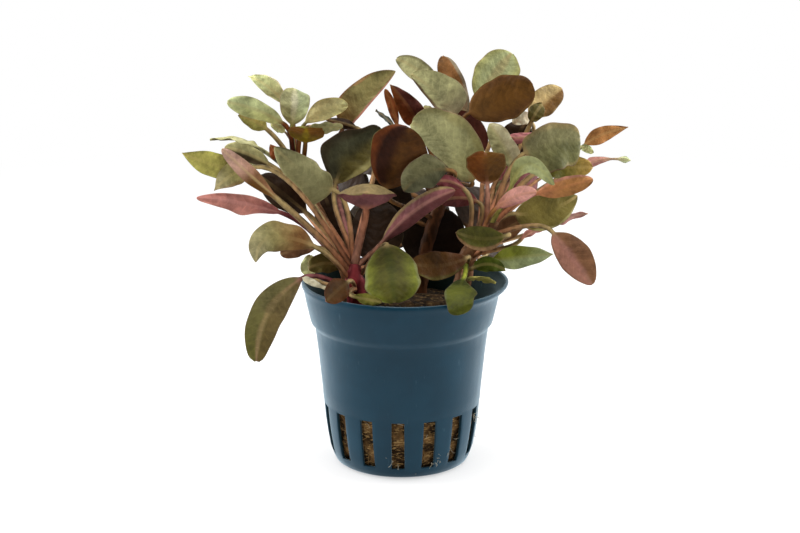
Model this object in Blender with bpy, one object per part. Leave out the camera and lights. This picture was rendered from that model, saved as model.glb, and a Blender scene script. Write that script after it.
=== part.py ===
"""A mini cardinal flower in its slotted net pot, in metres, with its front towards -Y and +Z up.

The origin is the middle of the pot's underside. The pot, the plug of rock wool, four stems and the larger
leaves are each one closed solid. Leaves are placed as they are seen from the front: across and up in the
plane that is square to the view and goes through the middle of the pot's mouth, then nearer to the eye or
further off.
"""

import math
from collections import namedtuple

import bmesh
import bpy
from mathutils import Quaternion, Vector

MM = 0.001
GAP = 0.3
SHARP_ANGLE = math.radians(50)

# The pot, in millimetres.
POT_HEIGHT = 51.0
MOUTH_RADIUS = 27.5
RIM_DROP = 3.0
RIM_FLARE = 0.8
LIP_WIDENING = 1.03
LIP_NARROWING = 0.975
LIP_SHIFT = 0.9
COLLAR_HEIGHT = 38.9
COLLAR_RADIUS = 23.8
COLLAR_STEP = 1.3
COLLAR_STEP_HEIGHT = 1.7
WAIST_HEIGHT = 31.0
WAIST_RADIUS = 22.9
SLOT_TOP = 16.9
SLOT_TOP_RADIUS = 21.5
SLOT_FOOT = 3.2
FOOT_RADIUS = 19.9
FOOT_HEIGHT = 4.8
BASE_RADIUS = 16.3
BASE_ROUND = 2.2
BASE_ROUND_HEIGHT = 0.9
WALL = 0.9
FLOOR = 1.2
SLOT_COUNT = 15
SLOT_WIDTH = 3.6
SLOT_CUT_FROM = SLOT_TOP_RADIUS - 6.0
SLOT_CUT_TO = SLOT_TOP_RADIUS + 4.0
FRONT_SLOT_TURN = -3.0
POT_COLUMNS = 30

# The medium, in millimetres.
WOOL_SLACK = WALL + GAP + 0.1
WOOL_EDGE = 43.0
WOOL_SHOULDER = 45.2
WOOL_SHOULDER_RADIUS = 17.0
WOOL_CROWN = 46.0
WOOL_COLUMNS = 24
SOCKET_SLACK = 1.2 * GAP
SOCKET_SIDES = 10

# The front view: the eye looks down a little at the plant.
VIEW_TILT = math.radians(15.4)
EYE_DISTANCE = 640.0
AIM = Vector((-0.5, 0.0, 54.9))
EYE = AIM + EYE_DISTANCE * Vector((0.0, -math.cos(VIEW_TILT), math.sin(VIEW_TILT)))
MOUTH = Vector((0.0, 0.0, POT_HEIGHT))
ACROSS = Vector((1.0, 0.0, 0.0))
UP = Vector((0.0, math.sin(VIEW_TILT), math.cos(VIEW_TILT)))

# Leaves, in millimetres and shares of a length.
STALK_RADIUS = 0.65
STALK_LIFT = 0.35
STALK_LEAVING = 0.35
STALK_ARRIVING = 0.3
STALK_MERGES = 0.3
TIP_BEGINS = 0.9
TIP_THINNING = 0.7
BLADE_THICKNESS = 0.9
CUP = 0.16
STALK_STATIONS = (0.0, 0.5)
BLADE_STATIONS = (0.0, 0.15, 0.42, 0.72, 0.94)
SMALL_BLADE_STATIONS = (0.0, 0.28, 0.6, 0.92)
SECTION = ((-1.0, 0.0), (-0.45, 0.5), (0.45, 0.5), (1.0, 0.0), (0.45, -0.5), (-0.45, -0.5))
SMALL_SECTION = ((-1.0, 0.0), (0.0, 0.5), (1.0, 0.0), (0.0, -0.5))
SLEEVE_SIDES = 5
SLEEVE_GAP = 1.3 * GAP
CURVE_STEPS = 60
STEM_SIDES = 8

# Each outline: how far along the blade it is widest, then how blunt its base and its tip are.
OUTLINES = {
    "oval": (0.50, 0.80, 0.55),
    "round": (0.52, 0.55, 0.50),
    "pointed": (0.42, 0.95, 1.05),
    "spoon": (0.66, 1.30, 0.55),
    "broad": (0.40, 0.60, 0.75),
    "blunt": (0.56, 0.70, 0.45),
    "square": (0.52, 0.42, 0.38),
    "egg": (0.60, 0.60, 0.50),
    "fan": (0.64, 0.95, 0.45),
    "wedge": (0.18, 0.40, 0.90),
}

# How much wider a blade is on its right half than on its left, looking to its tip from its upper side.
LEANS = {
    "leaf_back_tall": -0.55,
    "leaf_middle_pale": 0.3,
    "leaf_top_wide": 0.3,
    "leaf_shoot_long": 0.2,
    "leaf_right_hanging": 0.15,
}

# Colours as seen, red, green and blue from 0 to 255.
COLOURS = {
    "teal": (72, 104, 122),
    "wool": (104, 78, 48),
    "stalk": (165, 105, 88),
    "pale_green": (156, 155, 110),
    "grey_green": (125, 120, 80),
    "olive": (104, 98, 45),
    "dark_olive": (78, 70, 36),
    "lime": (140, 142, 54),
    "brown": (98, 64, 26),
    "rust": (150, 104, 60),
    "pink": (166, 106, 98),
    "dark_red": (64, 32, 22),
}

Stem = namedtuple("Stem", "name path radii sleeve")
Leaf = namedtuple("Leaf", "name stem level outline width roll colour base middle tip")

# Each stem: points from its root to its top, its radius at each, and how far out its leaves' stalks begin.
STEMS = (
    Stem(
        "crown_left",
        ((-10.5, -2.0, 38.5), (-12.0, -3.5, 46.5), (-12.8, -4.4, 52.0), (-12.8, -4.4, 56.5)),
        (2.8, 3.0, 2.8, 1.5),
        5.0,
    ),
    Stem(
        "crown_right",
        ((13.0, 0.0, 38.5), (16.5, 0.3, 50.0), (18.2, 0.5, 58.0), (22.0, 1.2, 63.0), (25.4, 1.8, 67.0)),
        (2.4, 2.4, 2.4, 1.9, 1.3),
        4.5,
    ),
    Stem(
        "crown_back",
        ((4.0, 8.0, 38.5), (5.0, 9.0, 50.0), (8.0, 10.0, 62.0), (12.0, 10.5, 73.0), (15.0, 10.5, 82.0)),
        (2.6, 2.6, 2.0, 1.6, 1.2),
        3.5,
    ),
    Stem(
        "young_shoot",
        ((-13.0, 7.0, 38.5), (-15.5, 8.0, 50.0), (-21.5, 9.0, 66.0), (-27.6, 9.3, 77.0), (-29.6, 9.5, 83.5)),
        (1.5, 1.4, 1.2, 1.1, 0.9),
        2.5,
    ),
)

# Each leaf: its stem, its place on the stem, outline, width, roll (0 shows the upper side to the front, 180
# the underside) and colour, then (across, up, nearer) for the base, middle and tip of its blade.
LEAVES = (
    Leaf("leaf_shoot_long", "young_shoot", 0.96, "pointed", 4.8, 0, "pale_green",
         (-31.8, 48.2, -10), (-36.8, 53.0, -8), (-42.0, 55.8, -11)),
    Leaf("leaf_shoot_top", "young_shoot", 1.0, "fan", 9.8, 0, "pale_green",
         (-30.0, 42.6, 1), (-29.4, 47.8, 1), (-29.2, 52.2, -3)),
    Leaf("leaf_shoot_right", "young_shoot", 0.92, "oval", 5.6, 0, "pale_green",
         (-26.4, 43.0, -8), (-20.8, 46.9, -6), (-14.8, 47.6, -7)),
    Leaf("leaf_shoot_front", "young_shoot", 0.86, "oval", 10.2, 180, "brown",
         (-26.4, 37.6, 7), (-26.2, 40.2, 8), (-26.0, 41.8, 11)),
    Leaf("leaf_shoot_left", "young_shoot", 1.0, "blunt", 5.4, 0, "pale_green",
         (-32.6, 43.0, 7), (-39.6, 46.6, 7), (-47.8, 48.8, 5)),
    Leaf("leaf_left_olive", "crown_left", 0.97, "oval", 5.2, 0, "grey_green",
         (-36.2, 31.6, -5), (-42.2, 34.6, -6), (-48.5, 36.4, -8)),
    Leaf("leaf_left_far", "crown_left", 0.76, "pointed", 7.2, 0, "lime",
         (-44.5, 30.0, -16), (-52.2, 31.8, -17), (-60.2, 34.8, -18)),
    Leaf("leaf_left_dipping", "crown_left", 0.9, "pointed", 6.8, 0, "grey_green",
         (-40.5, 31.0, 9), (-46.4, 28.9, 7), (-51.4, 24.5, 9)),
    Leaf("leaf_left_pink_tip", "crown_left", 0.78, "oval", 4.4, 180, "rust",
         (-34.5, 22.6, 12), (-42.2, 29.4, 16), (-49.3, 36.0, 20)),
    Leaf("leaf_left_purple", "crown_left", 0.66, "oval", 4.6, 180, "pink",
         (-32.8, 18.4, 8), (-43.6, 21.1, 11), (-56.3, 22.6, 12)),
    Leaf("leaf_left_curled", "crown_left", 0.62, "blunt", 6.6, 0, "grey_green",
         (-24.4, 8.9, 13), (-36.4, 11.6, 17), (-39.9, 4.8, 20)),
    Leaf("leaf_left_drooping", "crown_left", 0.5, "blunt", 8.6, 0, "olive",
         (-28.4, 0.4, 10), (-37.0, -8.6, 13), (-39.8, -22.3, 10)),
    Leaf("leaf_rim_brown", "crown_left", 0.6, "round", 6.2, 0, "brown",
         (-14.9, -0.6, 16), (-17.8, -2.9, 21), (-20.8, -5.8, 25)),
    Leaf("leaf_front_round", "crown_left", 0.7, "egg", 15, 0, "olive",
         (-4.0, 9.6, 12), (-2.9, 2.2, 21), (-2.0, -6.3, 25)),
    Leaf("leaf_arching", "crown_left", 1.0, "round", 16.4, 180, "pink",
         (-9.8, 19.6, 10), (-9.6, 26.0, 16), (-9.8, 23.6, 23)),
    Leaf("leaf_middle_pink", "crown_left", 0.92, "oval", 5.8, 180, "pink",
         (-5.4, 10.3, 7), (4.0, 19.4, 10), (14.6, 24.6, 14)),
    Leaf("leaf_left_grey", "crown_left", 0.95, "broad", 9.8, 0, "grey_green",
         (-19.0, 24.8, 7), (-26.2, 28.8, 9), (-35.0, 36.5, 9)),
    Leaf("leaf_left_inner", "crown_left", 1.0, "blunt", 12.6, 0, "dark_olive",
         (-18.2, 26.4, -2), (-13.2, 34.8, -3), (-4.6, 41.2, -6)),
    Leaf("leaf_back_tall", "crown_left", 0.82, "blunt", 6.4, 0, "olive",
         (-17.4, 44.0, -13), (-10.4, 50.3, -14), (-1.8, 57.0, -17)),
    Leaf("leaf_right_dark", "crown_right", 0.5, "blunt", 7.6, 0, "dark_olive",
         (17.8, 6.2, 8), (10.4, 4.0, 13), (2.4, 4.6, 17)),
    Leaf("leaf_rim_lime", "crown_right", 0.55, "fan", 8.2, 0, "lime",
         (16.9, 0.4, 15), (15.6, -4.2, 23), (16.2, -9.5, 26)),
    Leaf("leaf_right_bright", "crown_right", 0.52, "pointed", 6.4, 0, "lime",
         (24.4, 5.4, 4), (32.6, 6.4, 4), (41.4, 7.1, 2)),
    Leaf("leaf_right_hanging", "crown_right", 0.78, "oval", 8.8, 180, "pink",
         (41.8, 13.0, 8), (46.6, 6.8, 11), (52.3, -1.2, 12)),
    Leaf("leaf_right_olive", "crown_right", 0.93, "oval", 8.2, 0, "dark_olive",
         (32.4, 18.0, 2), (40.2, 19.2, 0), (48.0, 22.8, -4)),
    Leaf("leaf_right_orange", "crown_right", 1.0, "oval", 5.4, 180, "rust",
         (36.8, 23.7, 7), (44.7, 25.6, 9), (52.4, 27.6, 10)),
    Leaf("leaf_right_pink", "crown_right", 0.8, "oval", 4.6, 180, "pink",
         (25.8, 19.7, 10), (30.9, 22.9, 14), (36.9, 24.1, 16)),
    Leaf("leaf_right_folded", "crown_right", 0.93, "oval", 4.8, 0, "pale_green",
         (29.8, 25.2, 9), (34.9, 31.8, 12), (41.8, 26.0, 16)),
    Leaf("leaf_right_large", "crown_right", 0.95, "square", 10.8, 0, "grey_green",
         (33.6, 34.8, 6), (41.0, 37.8, 4), (48.8, 38.6, 0)),
    Leaf("leaf_right_lower", "crown_right", 0.98, "oval", 6.6, 0, "dark_olive",
         (37.6, 29.6, 3), (45.0, 30.9, -1), (52.2, 30.8, -4)),
    Leaf("leaf_right_far", "crown_right", 0.98, "pointed", 4.4, 0, "rust",
         (49.9, 37.0, -13), (54.9, 39.9, -14), (62.0, 41.9, -16)),
    Leaf("leaf_right_grey", "crown_right", 0.96, "oval", 6.6, 0, "grey_green",
         (30.4, 30.4, 0), (27.9, 36.9, -1), (24.0, 42.8, -4)),
    Leaf("leaf_right_brown", "crown_right", 0.88, "round", 11, 180, "brown",
         (23.4, 26.4, 11), (23.1, 31.6, 14), (22.9, 35.0, 19)),
    Leaf("leaf_right_bowl", "crown_right", 0.57, "oval", 6.4, 0, "olive",
         (28.4, 12.2, 12), (21.6, 11.4, 13), (14.8, 13.2, 16)),
    Leaf("leaf_top_brown", "crown_back", 1.0, "round", 12, 180, "brown",
         (18.6, 45.8, 6), (27.4, 49.6, 9), (36.2, 52.8, 12)),
    Leaf("leaf_top_pale", "crown_back", 0.94, "oval", 12.4, 0, "pale_green",
         (21.0, 48.8, -9), (24.9, 55.6, -12), (29.2, 62.4, -17)),
    Leaf("leaf_top_orange", "crown_back", 0.87, "oval", 6.4, 0, "rust",
         (17.8, 44.5, -10), (14.7, 53.2, -11), (11.2, 61.4, -14)),
    Leaf("leaf_top_green", "crown_back", 0.92, "oval", 6.2, 0, "pale_green",
         (10.6, 50.6, -8), (5.2, 56.8, -12), (-1.5, 60.6, -16)),
    Leaf("leaf_top_wide", "crown_back", 1.0, "broad", 9.6, 0, "grey_green",
         (14.2, 44.8, 0), (10.2, 50.4, 1), (2.4, 56.4, -2)),
    Leaf("leaf_top_red", "crown_back", 0.76, "wedge", 6.6, 180, "dark_red",
         (4.6, 43.0, -3), (1.4, 48.0, 0), (-3.2, 53.6, 4)),
    Leaf("leaf_middle_brown", "crown_back", 0.6, "egg", 15.2, 180, "brown",
         (-4.2, 25.2, 8), (-1.4, 33.8, 12), (2.2, 41.8, 14)),
    Leaf("leaf_middle_pale", "crown_back", 0.85, "round", 13, 0, "pale_green",
         (19.2, 27.0, 5), (12.8, 36.8, 7), (2.6, 43.0, 4)),
    Leaf("leaf_middle_grey", "crown_back", 0.72, "oval", 8.6, 0, "grey_green",
         (12.6, 30.2, 11.5), (6.2, 29.2, 13), (0.4, 24.4, 15)),
    Leaf("leaf_top_right", "crown_right", 0.65, "round", 7, 0, "grey_green",
         (35.2, 48.6, -16), (39.6, 50.2, -18), (43.7, 51.2, -21)),
    Leaf("leaf_rear_low", "crown_back", 0.4, "round", 17, 180, "olive",
         (6.0, 6.0, -16), (8.0, 11.5, -22), (10.0, 14.0, -32)),
    Leaf("leaf_rear_middle", "crown_back", 0.5, "round", 18, 180, "olive",
         (4.0, 13.0, -16.5), (5.0, 19.5, -20.5), (6.0, 25.0, -28.5)),
    Leaf("leaf_rear_left", "crown_back", 0.47, "round", 16, 180, "olive",
         (-6.0, 10.0, -14), (-8.0, 17.0, -18), (-11.0, 22.0, -26)),
    Leaf("leaf_rear_right", "crown_back", 0.55, "oval", 14, 180, "olive",
         (18.0, 14.0, -18), (21.0, 20.5, -24), (25.0, 24.0, -33)),
    Leaf("leaf_rear_inner", "crown_back", 0.62, "round", 15, 180, "olive",
         (10.0, 24.0, -18), (12.0, 30.0, -24), (14.0, 33.0, -33)),
    Leaf("leaf_rear_high", "crown_back", 0.72, "oval", 13, 180, "olive",
         (15.0, 35.0, -15), (17.0, 41.0, -19), (19.0, 44.0, -28)),
    Leaf("leaf_rear_upper", "crown_back", 0.66, "oval", 14, 180, "olive",
         (-2.0, 28.0, -13), (-5.0, 34.0, -18), (-8.0, 37.0, -26)),
    Leaf("leaf_rear_shoot", "crown_back", 0.58, "oval", 12, 180, "olive",
         (-10.0, 22.0, -16), (-15.0, 27.0, -22), (-19.0, 29.0, -30)),
    Leaf("leaf_rear_outer", "crown_right", 0.82, "oval", 14, 180, "olive",
         (28.0, 22.0, -14), (31.5, 29.0, -19), (35.0, 33.0, -28)),
    Leaf("leaf_rear_rim", "crown_right", 0.6, "oval", 9.6, 180, "olive",
         (23.0, 7.0, -14), (26.0, 10.0, -21), (28.0, 9.0, -29)),
    Leaf("leaf_rear_side", "young_shoot", 0.36, "oval", 10.4, 180, "olive",
         (-18.5, 10.0, -12), (-20.5, 15.0, -18), (-22.0, 16.0, -26)),
)

# Smaller leaves, each grown together with the stem that carries it.
SMALL_LEAVES = (
    Leaf("flat", "young_shoot", 0.95, "oval", 5.2, 55, "stalk",
         (-25.4, 41.9, 5), (-20.8, 42.1, 5), (-16.2, 41.9, 3)),
    Leaf("yellow", "young_shoot", 0.76, "broad", 4.4, 180, "stalk",
         (-37.2, 41.5, 3.5), (-40.6, 43.6, 5), (-44.8, 45.2, 5)),
    Leaf("sprout", "young_shoot", 0.7, "oval", 2.6, 0, "stalk",
         (-32.0, 40.6, -5), (-33.8, 41.8, -1), (-35.8, 43.0, -1)),
    Leaf("rusty", "young_shoot", 0.75, "broad", 3.6, 180, "stalk",
         (-32.5, 33.4, 2), (-34.4, 34.8, 3), (-36.0, 37.2, 3)),
    Leaf("edge", "crown_left", 0.78, "pointed", 4.6, 72, "stalk",
         (-38.5, 35.9, 1), (-45.0, 38.3, -1), (-52.6, 38.6, -4)),
    Leaf("behind", "crown_left", 0.5, "oval", 4.6, 0, "stalk",
         (-23.6, 2.6, -4), (-24.2, 5.0, -6), (-24.4, 7.2, -8)),
    Leaf("under", "crown_left", 0.5, "oval", 4, 30, "stalk",
         (-16.6, 2.6, 2), (-21.0, 3.4, 3), (-25.4, 2.4, 4)),
    Leaf("dark", "crown_left", 0.8, "oval", 6.6, 180, "stalk",
         (-28.2, 22.0, 3), (-33.0, 25.8, 3), (-38.6, 29.2, 2)),
    Leaf("straw", "crown_left", 0.52, "spoon", 1.9, 0, "stalk",
         (-20.6, -2.3, 17), (-23.8, -0.9, 15), (-27.2, 0.7, 12)),
    Leaf("yellow_rim", "crown_left", 0.6, "oval", 3.2, 20, "stalk",
         (-13.0, -4.4, 20), (-9.4, -5.2, 23), (-5.4, -5.8, 24.5)),
    Leaf("edge", "crown_right", 0.5, "oval", 4, 68, "stalk",
         (18.2, 0.2, 11), (22.0, 0.7, 11), (25.7, -0.8, 10)),
    Leaf("stalk", "crown_right", 0.6, "oval", 3.4, 225, "stalk",
         (32.4, 11.0, 0), (36.0, 13.6, -1), (40.0, 14.5, -3)),
    Leaf("pink", "crown_right", 0.6, "pointed", 4.6, 62, "stalk",
         (38.8, 14.5, -9), (45.0, 17.2, -10), (50.9, 18.3, -12)),
    Leaf("purple", "crown_right", 0.7, "oval", 5, 180, "stalk",
         (20.8, 21.4, 4), (15.5, 22.6, 6), (10.0, 21.4, 7)),
    Leaf("tail", "crown_right", 0.68, "pinched", 3, 180, "stalk",
         (50.0, 31.6, -14), (56.0, 33.1, -14), (62.7, 32.8, -14)),
    Leaf("low", "crown_right", 0.8, "oval", 4, 0, "stalk",
         (26.0, 21.6, -4), (27.2, 24.8, -5), (28.2, 27.6, -7)),
    Leaf("pale", "crown_right", 0.84, "oval", 3.8, 0, "stalk",
         (35.6, 43.2, -12), (33.2, 44.4, -8), (30.4, 42.9, -8)),
    Leaf("olive", "crown_right", 0.82, "oval", 4.4, 0, "stalk",
         (35.4, 43.4, -8), (36.6, 45.7, -7.5), (38.4, 48.2, -10)),
    Leaf("narrow", "crown_back", 0.7, "oval", 2.6, 180, "stalk",
         (-1.2, 42.0, 1), (-2.6, 47.2, 2), (-4.6, 52.4, 4)),
    Leaf("blade", "crown_back", 0.65, "oval", 3.4, 68, "stalk",
         (-1.6, 41.2, -7), (-4.2, 44.0, -8), (-7.2, 46.5, -9)),
    Leaf("green", "crown_back", 0.7, "oval", 2.8, 0, "stalk",
         (8.8, 44.2, -6), (7.6, 46.0, -5), (6.0, 47.4, -6)),
    Leaf("red", "crown_back", 0.9, "oval", 8.2, 180, "stalk",
         (21.6, 34.2, -3), (18.8, 40.6, -3), (13.0, 45.6, -4)),
    Leaf("rose", "crown_right", 0.76, "oval", 3.2, 160, "stalk",
         (28.6, 39.4, -6.6), (32.2, 38.9, -5.8), (36.4, 40.2, -6.6)),
    Leaf("core", "crown_back", 0.14, "round", 15, 180, "dark_red",
         (3.4, 4.0, -6.4), (7.5, 11.5, -6), (11.0, 18.5, -5)),
    Leaf("core", "crown_left", 0.9, "round", 11, 180, "dark_red",
         (-8.5, 6.0, 1), (-7.4, 13.5, -1), (-6.0, 21.0, -4)),
    Leaf("deep", "crown_back", 0.55, "oval", 10, 180, "dark_red",
         (2.0, 17.5, -6.5), (-3.0, 23.5, -6.5), (-8.6, 28.0, -5.5)),
    Leaf("shade", "crown_right", 0.85, "oval", 6.6, 180, "dark_red",
         (29.4, 34.0, -9), (32.0, 38.2, -10), (34.4, 42.4, -11)),
    Leaf("mauve", "crown_right", 0.63, "oval", 3.4, 180, "dark_red",
         (17.0, 25.0, 9), (12.8, 27.1, 11), (8.4, 26.8, 12)),
    Leaf("lobe", "crown_left", 0.5, "blunt", 3.2, 0, "grey_green",
         (-24.4, 7.5, 9.5), (-29.0, 7.0, 12), (-33.8, 6.3, 12)),
    Leaf("lobe", "crown_right", 0.84, "oval", 2.2, 0, "pale_green",
         (48.8, 36.4, -9.5), (50.6, 36.0, -8.5), (52.2, 34.8, -9)),
    Leaf("green", "crown_right", 0.5, "broad", 4.2, 0, "dark_olive",
         (19.6, 3.4, 6.5), (24.0, 4.4, 6.5), (28.4, 2.6, 5.5)),
    Leaf("dusk", "crown_right", 0.55, "oval", 4.6, 0, "dark_olive",
         (26.4, 8.4, 1), (28.6, 10.4, 1), (31.0, 12.2, 0)),
    Leaf("shadow", "crown_left", 0.82, "oval", 5, 180, "dark_red",
         (-14.6, 11.0, -3.5), (-16.6, 17.5, -4.5), (-18.6, 23.5, -6.5)),
    Leaf("dusky", "crown_left", 0.98, "pointed", 2.8, 180, "dark_red",
         (-12.2, 41.6, -10), (-16.4, 43.0, -10), (-21.4, 44.1, -10)),
)

# Half widths along the leaf that has shrivelled to a thread behind its tip.
PINCHED = ((0.0, 0.35), (0.15, 1.0), (0.45, 0.55), (0.6, 0.2), (0.75, 0.25), (0.9, 0.75), (1.0, 0.0))


def clear_scene():
    for thing in list(bpy.data.objects):
        bpy.data.objects.remove(thing)


def linear(level):
    """A colour level from 0 to 255 as the share of light that it stands for."""
    share = level / 255.0
    if share <= 0.04045:
        return share / 12.92
    return ((share + 0.055) / 1.055) ** 2.4


def material(name, colour, roughness):
    made = bpy.data.materials.new(name)
    made.use_nodes = True
    shader = made.node_tree.nodes["Principled BSDF"]
    red, green, blue = (linear(level) for level in COLOURS[colour])
    shader.inputs["Base Color"].default_value = (red, green, blue, 1.0)
    shader.inputs["Roughness"].default_value = roughness
    shader.inputs["Metallic"].default_value = 0.0
    return made


def add_object(name, shape, look):
    """An object that holds a finished bmesh, with its faces turned outwards and its scale in metres."""
    bmesh.ops.recalc_face_normals(shape, faces=shape.faces)
    bmesh.ops.scale(shape, vec=(MM, MM, MM), verts=shape.verts)
    mesh = bpy.data.meshes.new(name)
    shape.to_mesh(mesh)
    shape.free()
    mesh.shade_smooth()
    mesh.set_sharp_from_angle(angle=SHARP_ANGLE)
    mesh.materials.append(look)
    made = bpy.data.objects.new(name, mesh)
    bpy.context.scene.collection.objects.link(made)
    return made


def add_boolean(target, cutter, operation):
    change = target.modifiers.new(f"{operation.lower()} {cutter.name}", "BOOLEAN")
    change.operation = operation
    change.solver = "EXACT"
    change.use_self = True
    change.object = cutter
    cutter.hide_render = True
    cutter.display_type = "WIRE"


def join_rings(shape, rings, closed_ends=True):
    """Skins a list of rings of points, each ring as long as the others, and closes both ends."""
    made = [[shape.verts.new(point) for point in ring] for ring in rings]
    sides = len(made[0])
    for lower, upper in zip(made, made[1:]):
        for i in range(sides):
            j = (i + 1) % sides
            shape.faces.new((lower[i], lower[j], upper[j], upper[i]))
    if closed_ends:
        shape.faces.new(list(reversed(made[0])))
        shape.faces.new(made[-1])
    return made


def turned(profile, columns, turn=0.0):
    """A solid turned about Z from (radius, height) points that start and end on the axis."""
    shape = bmesh.new()
    rings = []
    for radius, height in profile[1:-1]:
        ring = []
        for i in range(columns):
            angle = 2 * math.pi * i / columns + turn
            ring.append(Vector((radius * math.cos(angle), radius * math.sin(angle), height)))
        rings.append(ring)
    made = join_rings(shape, rings, closed_ends=False)
    for ring, (_, height) in ((made[0], profile[0]), (made[-1], profile[-1])):
        centre = shape.verts.new((0.0, 0.0, height))
        for i in range(columns):
            shape.faces.new((ring[i], ring[(i + 1) % columns], centre))
    return shape


def pot_outside():
    return (
        (0.0, 0.0),
        (BASE_RADIUS, 0.0),
        (BASE_RADIUS + BASE_ROUND, BASE_ROUND_HEIGHT),
        (FOOT_RADIUS, FOOT_HEIGHT),
        (SLOT_TOP_RADIUS, SLOT_TOP),
        (WAIST_RADIUS, WAIST_HEIGHT),
        (COLLAR_RADIUS, COLLAR_HEIGHT),
        (COLLAR_RADIUS + COLLAR_STEP, COLLAR_HEIGHT + COLLAR_STEP_HEIGHT),
        (MOUTH_RADIUS - RIM_FLARE, POT_HEIGHT - RIM_DROP),
        (MOUTH_RADIUS, POT_HEIGHT),
    )


def pot_inside():
    """The inner wall from the mouth down to the floor."""
    return (
        (MOUTH_RADIUS - WALL, POT_HEIGHT),
        (MOUTH_RADIUS - RIM_FLARE - WALL, POT_HEIGHT - RIM_DROP),
        (COLLAR_RADIUS + COLLAR_STEP - WALL, COLLAR_HEIGHT + COLLAR_STEP_HEIGHT),
        (COLLAR_RADIUS - WALL, COLLAR_HEIGHT),
        (WAIST_RADIUS - WALL, WAIST_HEIGHT),
        (SLOT_TOP_RADIUS - WALL, SLOT_TOP),
        (FOOT_RADIUS - WALL, FOOT_HEIGHT),
        (BASE_RADIUS, FLOOR),
        (0.0, FLOOR),
    )


def slot_cutters(look):
    """Upright bars that reach through the wall, spaced evenly, one a little off the middle of the front."""
    shape = bmesh.new()
    for i in range(SLOT_COUNT):
        turn = math.radians(FRONT_SLOT_TURN - 90.0 + 360.0 * i / SLOT_COUNT)
        out = Vector((math.cos(turn), math.sin(turn), 0.0))
        side = Vector((-out.y, out.x, 0.0))
        rings = []
        for reach in (SLOT_CUT_FROM, SLOT_CUT_TO):
            ring = []
            for across, height in ((-0.5, SLOT_FOOT), (0.5, SLOT_FOOT), (0.5, SLOT_TOP), (-0.5, SLOT_TOP)):
                ring.append(out * reach + side * across * SLOT_WIDTH + Vector((0.0, 0.0, height)))
            rings.append(ring)
        join_rings(shape, rings)
    return add_object("slot_cutters", shape, look)


def spread_lip(shape):
    """The lip is a little wider than it is deep, and leans out to the right."""
    for point in shape.verts:
        if point.co.z > POT_HEIGHT - RIM_DROP * 0.5:
            point.co.x = point.co.x * LIP_WIDENING + LIP_SHIFT
            point.co.y *= LIP_NARROWING


def make_pot(look):
    shape = turned(pot_outside() + pot_inside(), POT_COLUMNS)
    spread_lip(shape)
    pot = add_object("pot", shape, look)
    add_boolean(pot, slot_cutters(look), "DIFFERENCE")
    return pot


def make_wool(look):
    """The plug of medium, a little inside the pot's inner wall, low-domed, with a socket for each stem."""
    profile = (
        (0.0, FLOOR + GAP),
        (BASE_RADIUS - GAP, FLOOR + GAP),
        (FOOT_RADIUS - WOOL_SLACK, FOOT_HEIGHT + GAP),
        (SLOT_TOP_RADIUS - WOOL_SLACK, SLOT_TOP),
        (WAIST_RADIUS - WOOL_SLACK, WAIST_HEIGHT),
        (COLLAR_RADIUS - WOOL_SLACK, COLLAR_HEIGHT),
        (COLLAR_RADIUS - WOOL_SLACK, WOOL_EDGE),
        (WOOL_SHOULDER_RADIUS, WOOL_SHOULDER),
        (0.0, WOOL_CROWN),
    )
    wool = add_object("rockwool", turned(profile, WOOL_COLUMNS), look)
    shape = bmesh.new()
    for stem in STEMS:
        path = [Vector(point) for point in stem.path[:2]]
        path[0] = path[0] + (path[0] - path[1]).normalized() * GAP
        radii = [radius + SOCKET_SLACK for radius in stem.radii[:2]]
        join_rings(shape, tube_rings(path, radii, SOCKET_SIDES))
    add_boolean(wool, add_object("stem_sockets", shape, look), "DIFFERENCE")
    return wool


def place(across, up, nearer):
    """The point seen this far across and up from the middle of the mouth, moved nearer to the eye."""
    flat = MOUTH + ACROSS * across + UP * up
    return flat + (EYE - flat).normalized() * nearer


def tube_rings(path, radii, sides):
    """Rings of points square to a path, without twist from one to the next."""
    rings = []
    normal = None
    for i, point in enumerate(path):
        ahead = path[min(i + 1, len(path) - 1)] - path[max(i - 1, 0)]
        ahead.normalize()
        if normal is None:
            normal = ahead.orthogonal().normalized()
        normal = (normal - ahead * normal.dot(ahead)).normalized()
        side = ahead.cross(normal)
        ring = []
        for k in range(sides):
            angle = 2 * math.pi * k / sides
            ring.append(point + (normal * math.cos(angle) + side * math.sin(angle)) * radii[i])
        rings.append(ring)
    return rings


def stem_named(name):
    return next(stem for stem in STEMS if stem.name == name)


def stem_point(stem, level):
    """The point on a stem's centre line at a share of its length."""
    path = [Vector(point) for point in stem.path]
    lengths = [(b - a).length for a, b in zip(path, path[1:])]
    left = level * sum(lengths)
    for i, length in enumerate(lengths):
        if left <= length:
            return path[i].lerp(path[i + 1], left / length)
        left -= length
    return path[-1]


def stalk_curve(leaf, share):
    """A point on the leaf stalk's centre line, from inside its stem to the foot of its blade."""
    start = stem_point(stem_named(leaf.stem), leaf.level)
    base, middle, tip = (place(*point) for point in (leaf.base, leaf.middle, leaf.tip))
    reach = (base - start).length
    leaving = (base - start).normalized() + Vector((0.0, 0.0, STALK_LIFT))
    arriving = blade_control(base, middle, tip) - base
    first = start + leaving.normalized() * reach * STALK_LEAVING
    second = base - arriving.normalized() * reach * STALK_ARRIVING
    rest = 1.0 - share
    return (
        start * rest**3
        + first * 3 * rest**2 * share
        + second * 3 * rest * share**2
        + base * share**3
    )


def blade_control(base, middle, tip):
    return middle * 2.0 - (base + tip) * 0.5


def blade_curve(leaf, share):
    """A point on the midrib, which passes through the blade's base, middle and tip."""
    base, middle, tip = (place(*point) for point in (leaf.base, leaf.middle, leaf.tip))
    control = blade_control(base, middle, tip)
    rest = 1.0 - share
    return base * rest**2 + control * 2 * rest * share + tip * share**2


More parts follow.
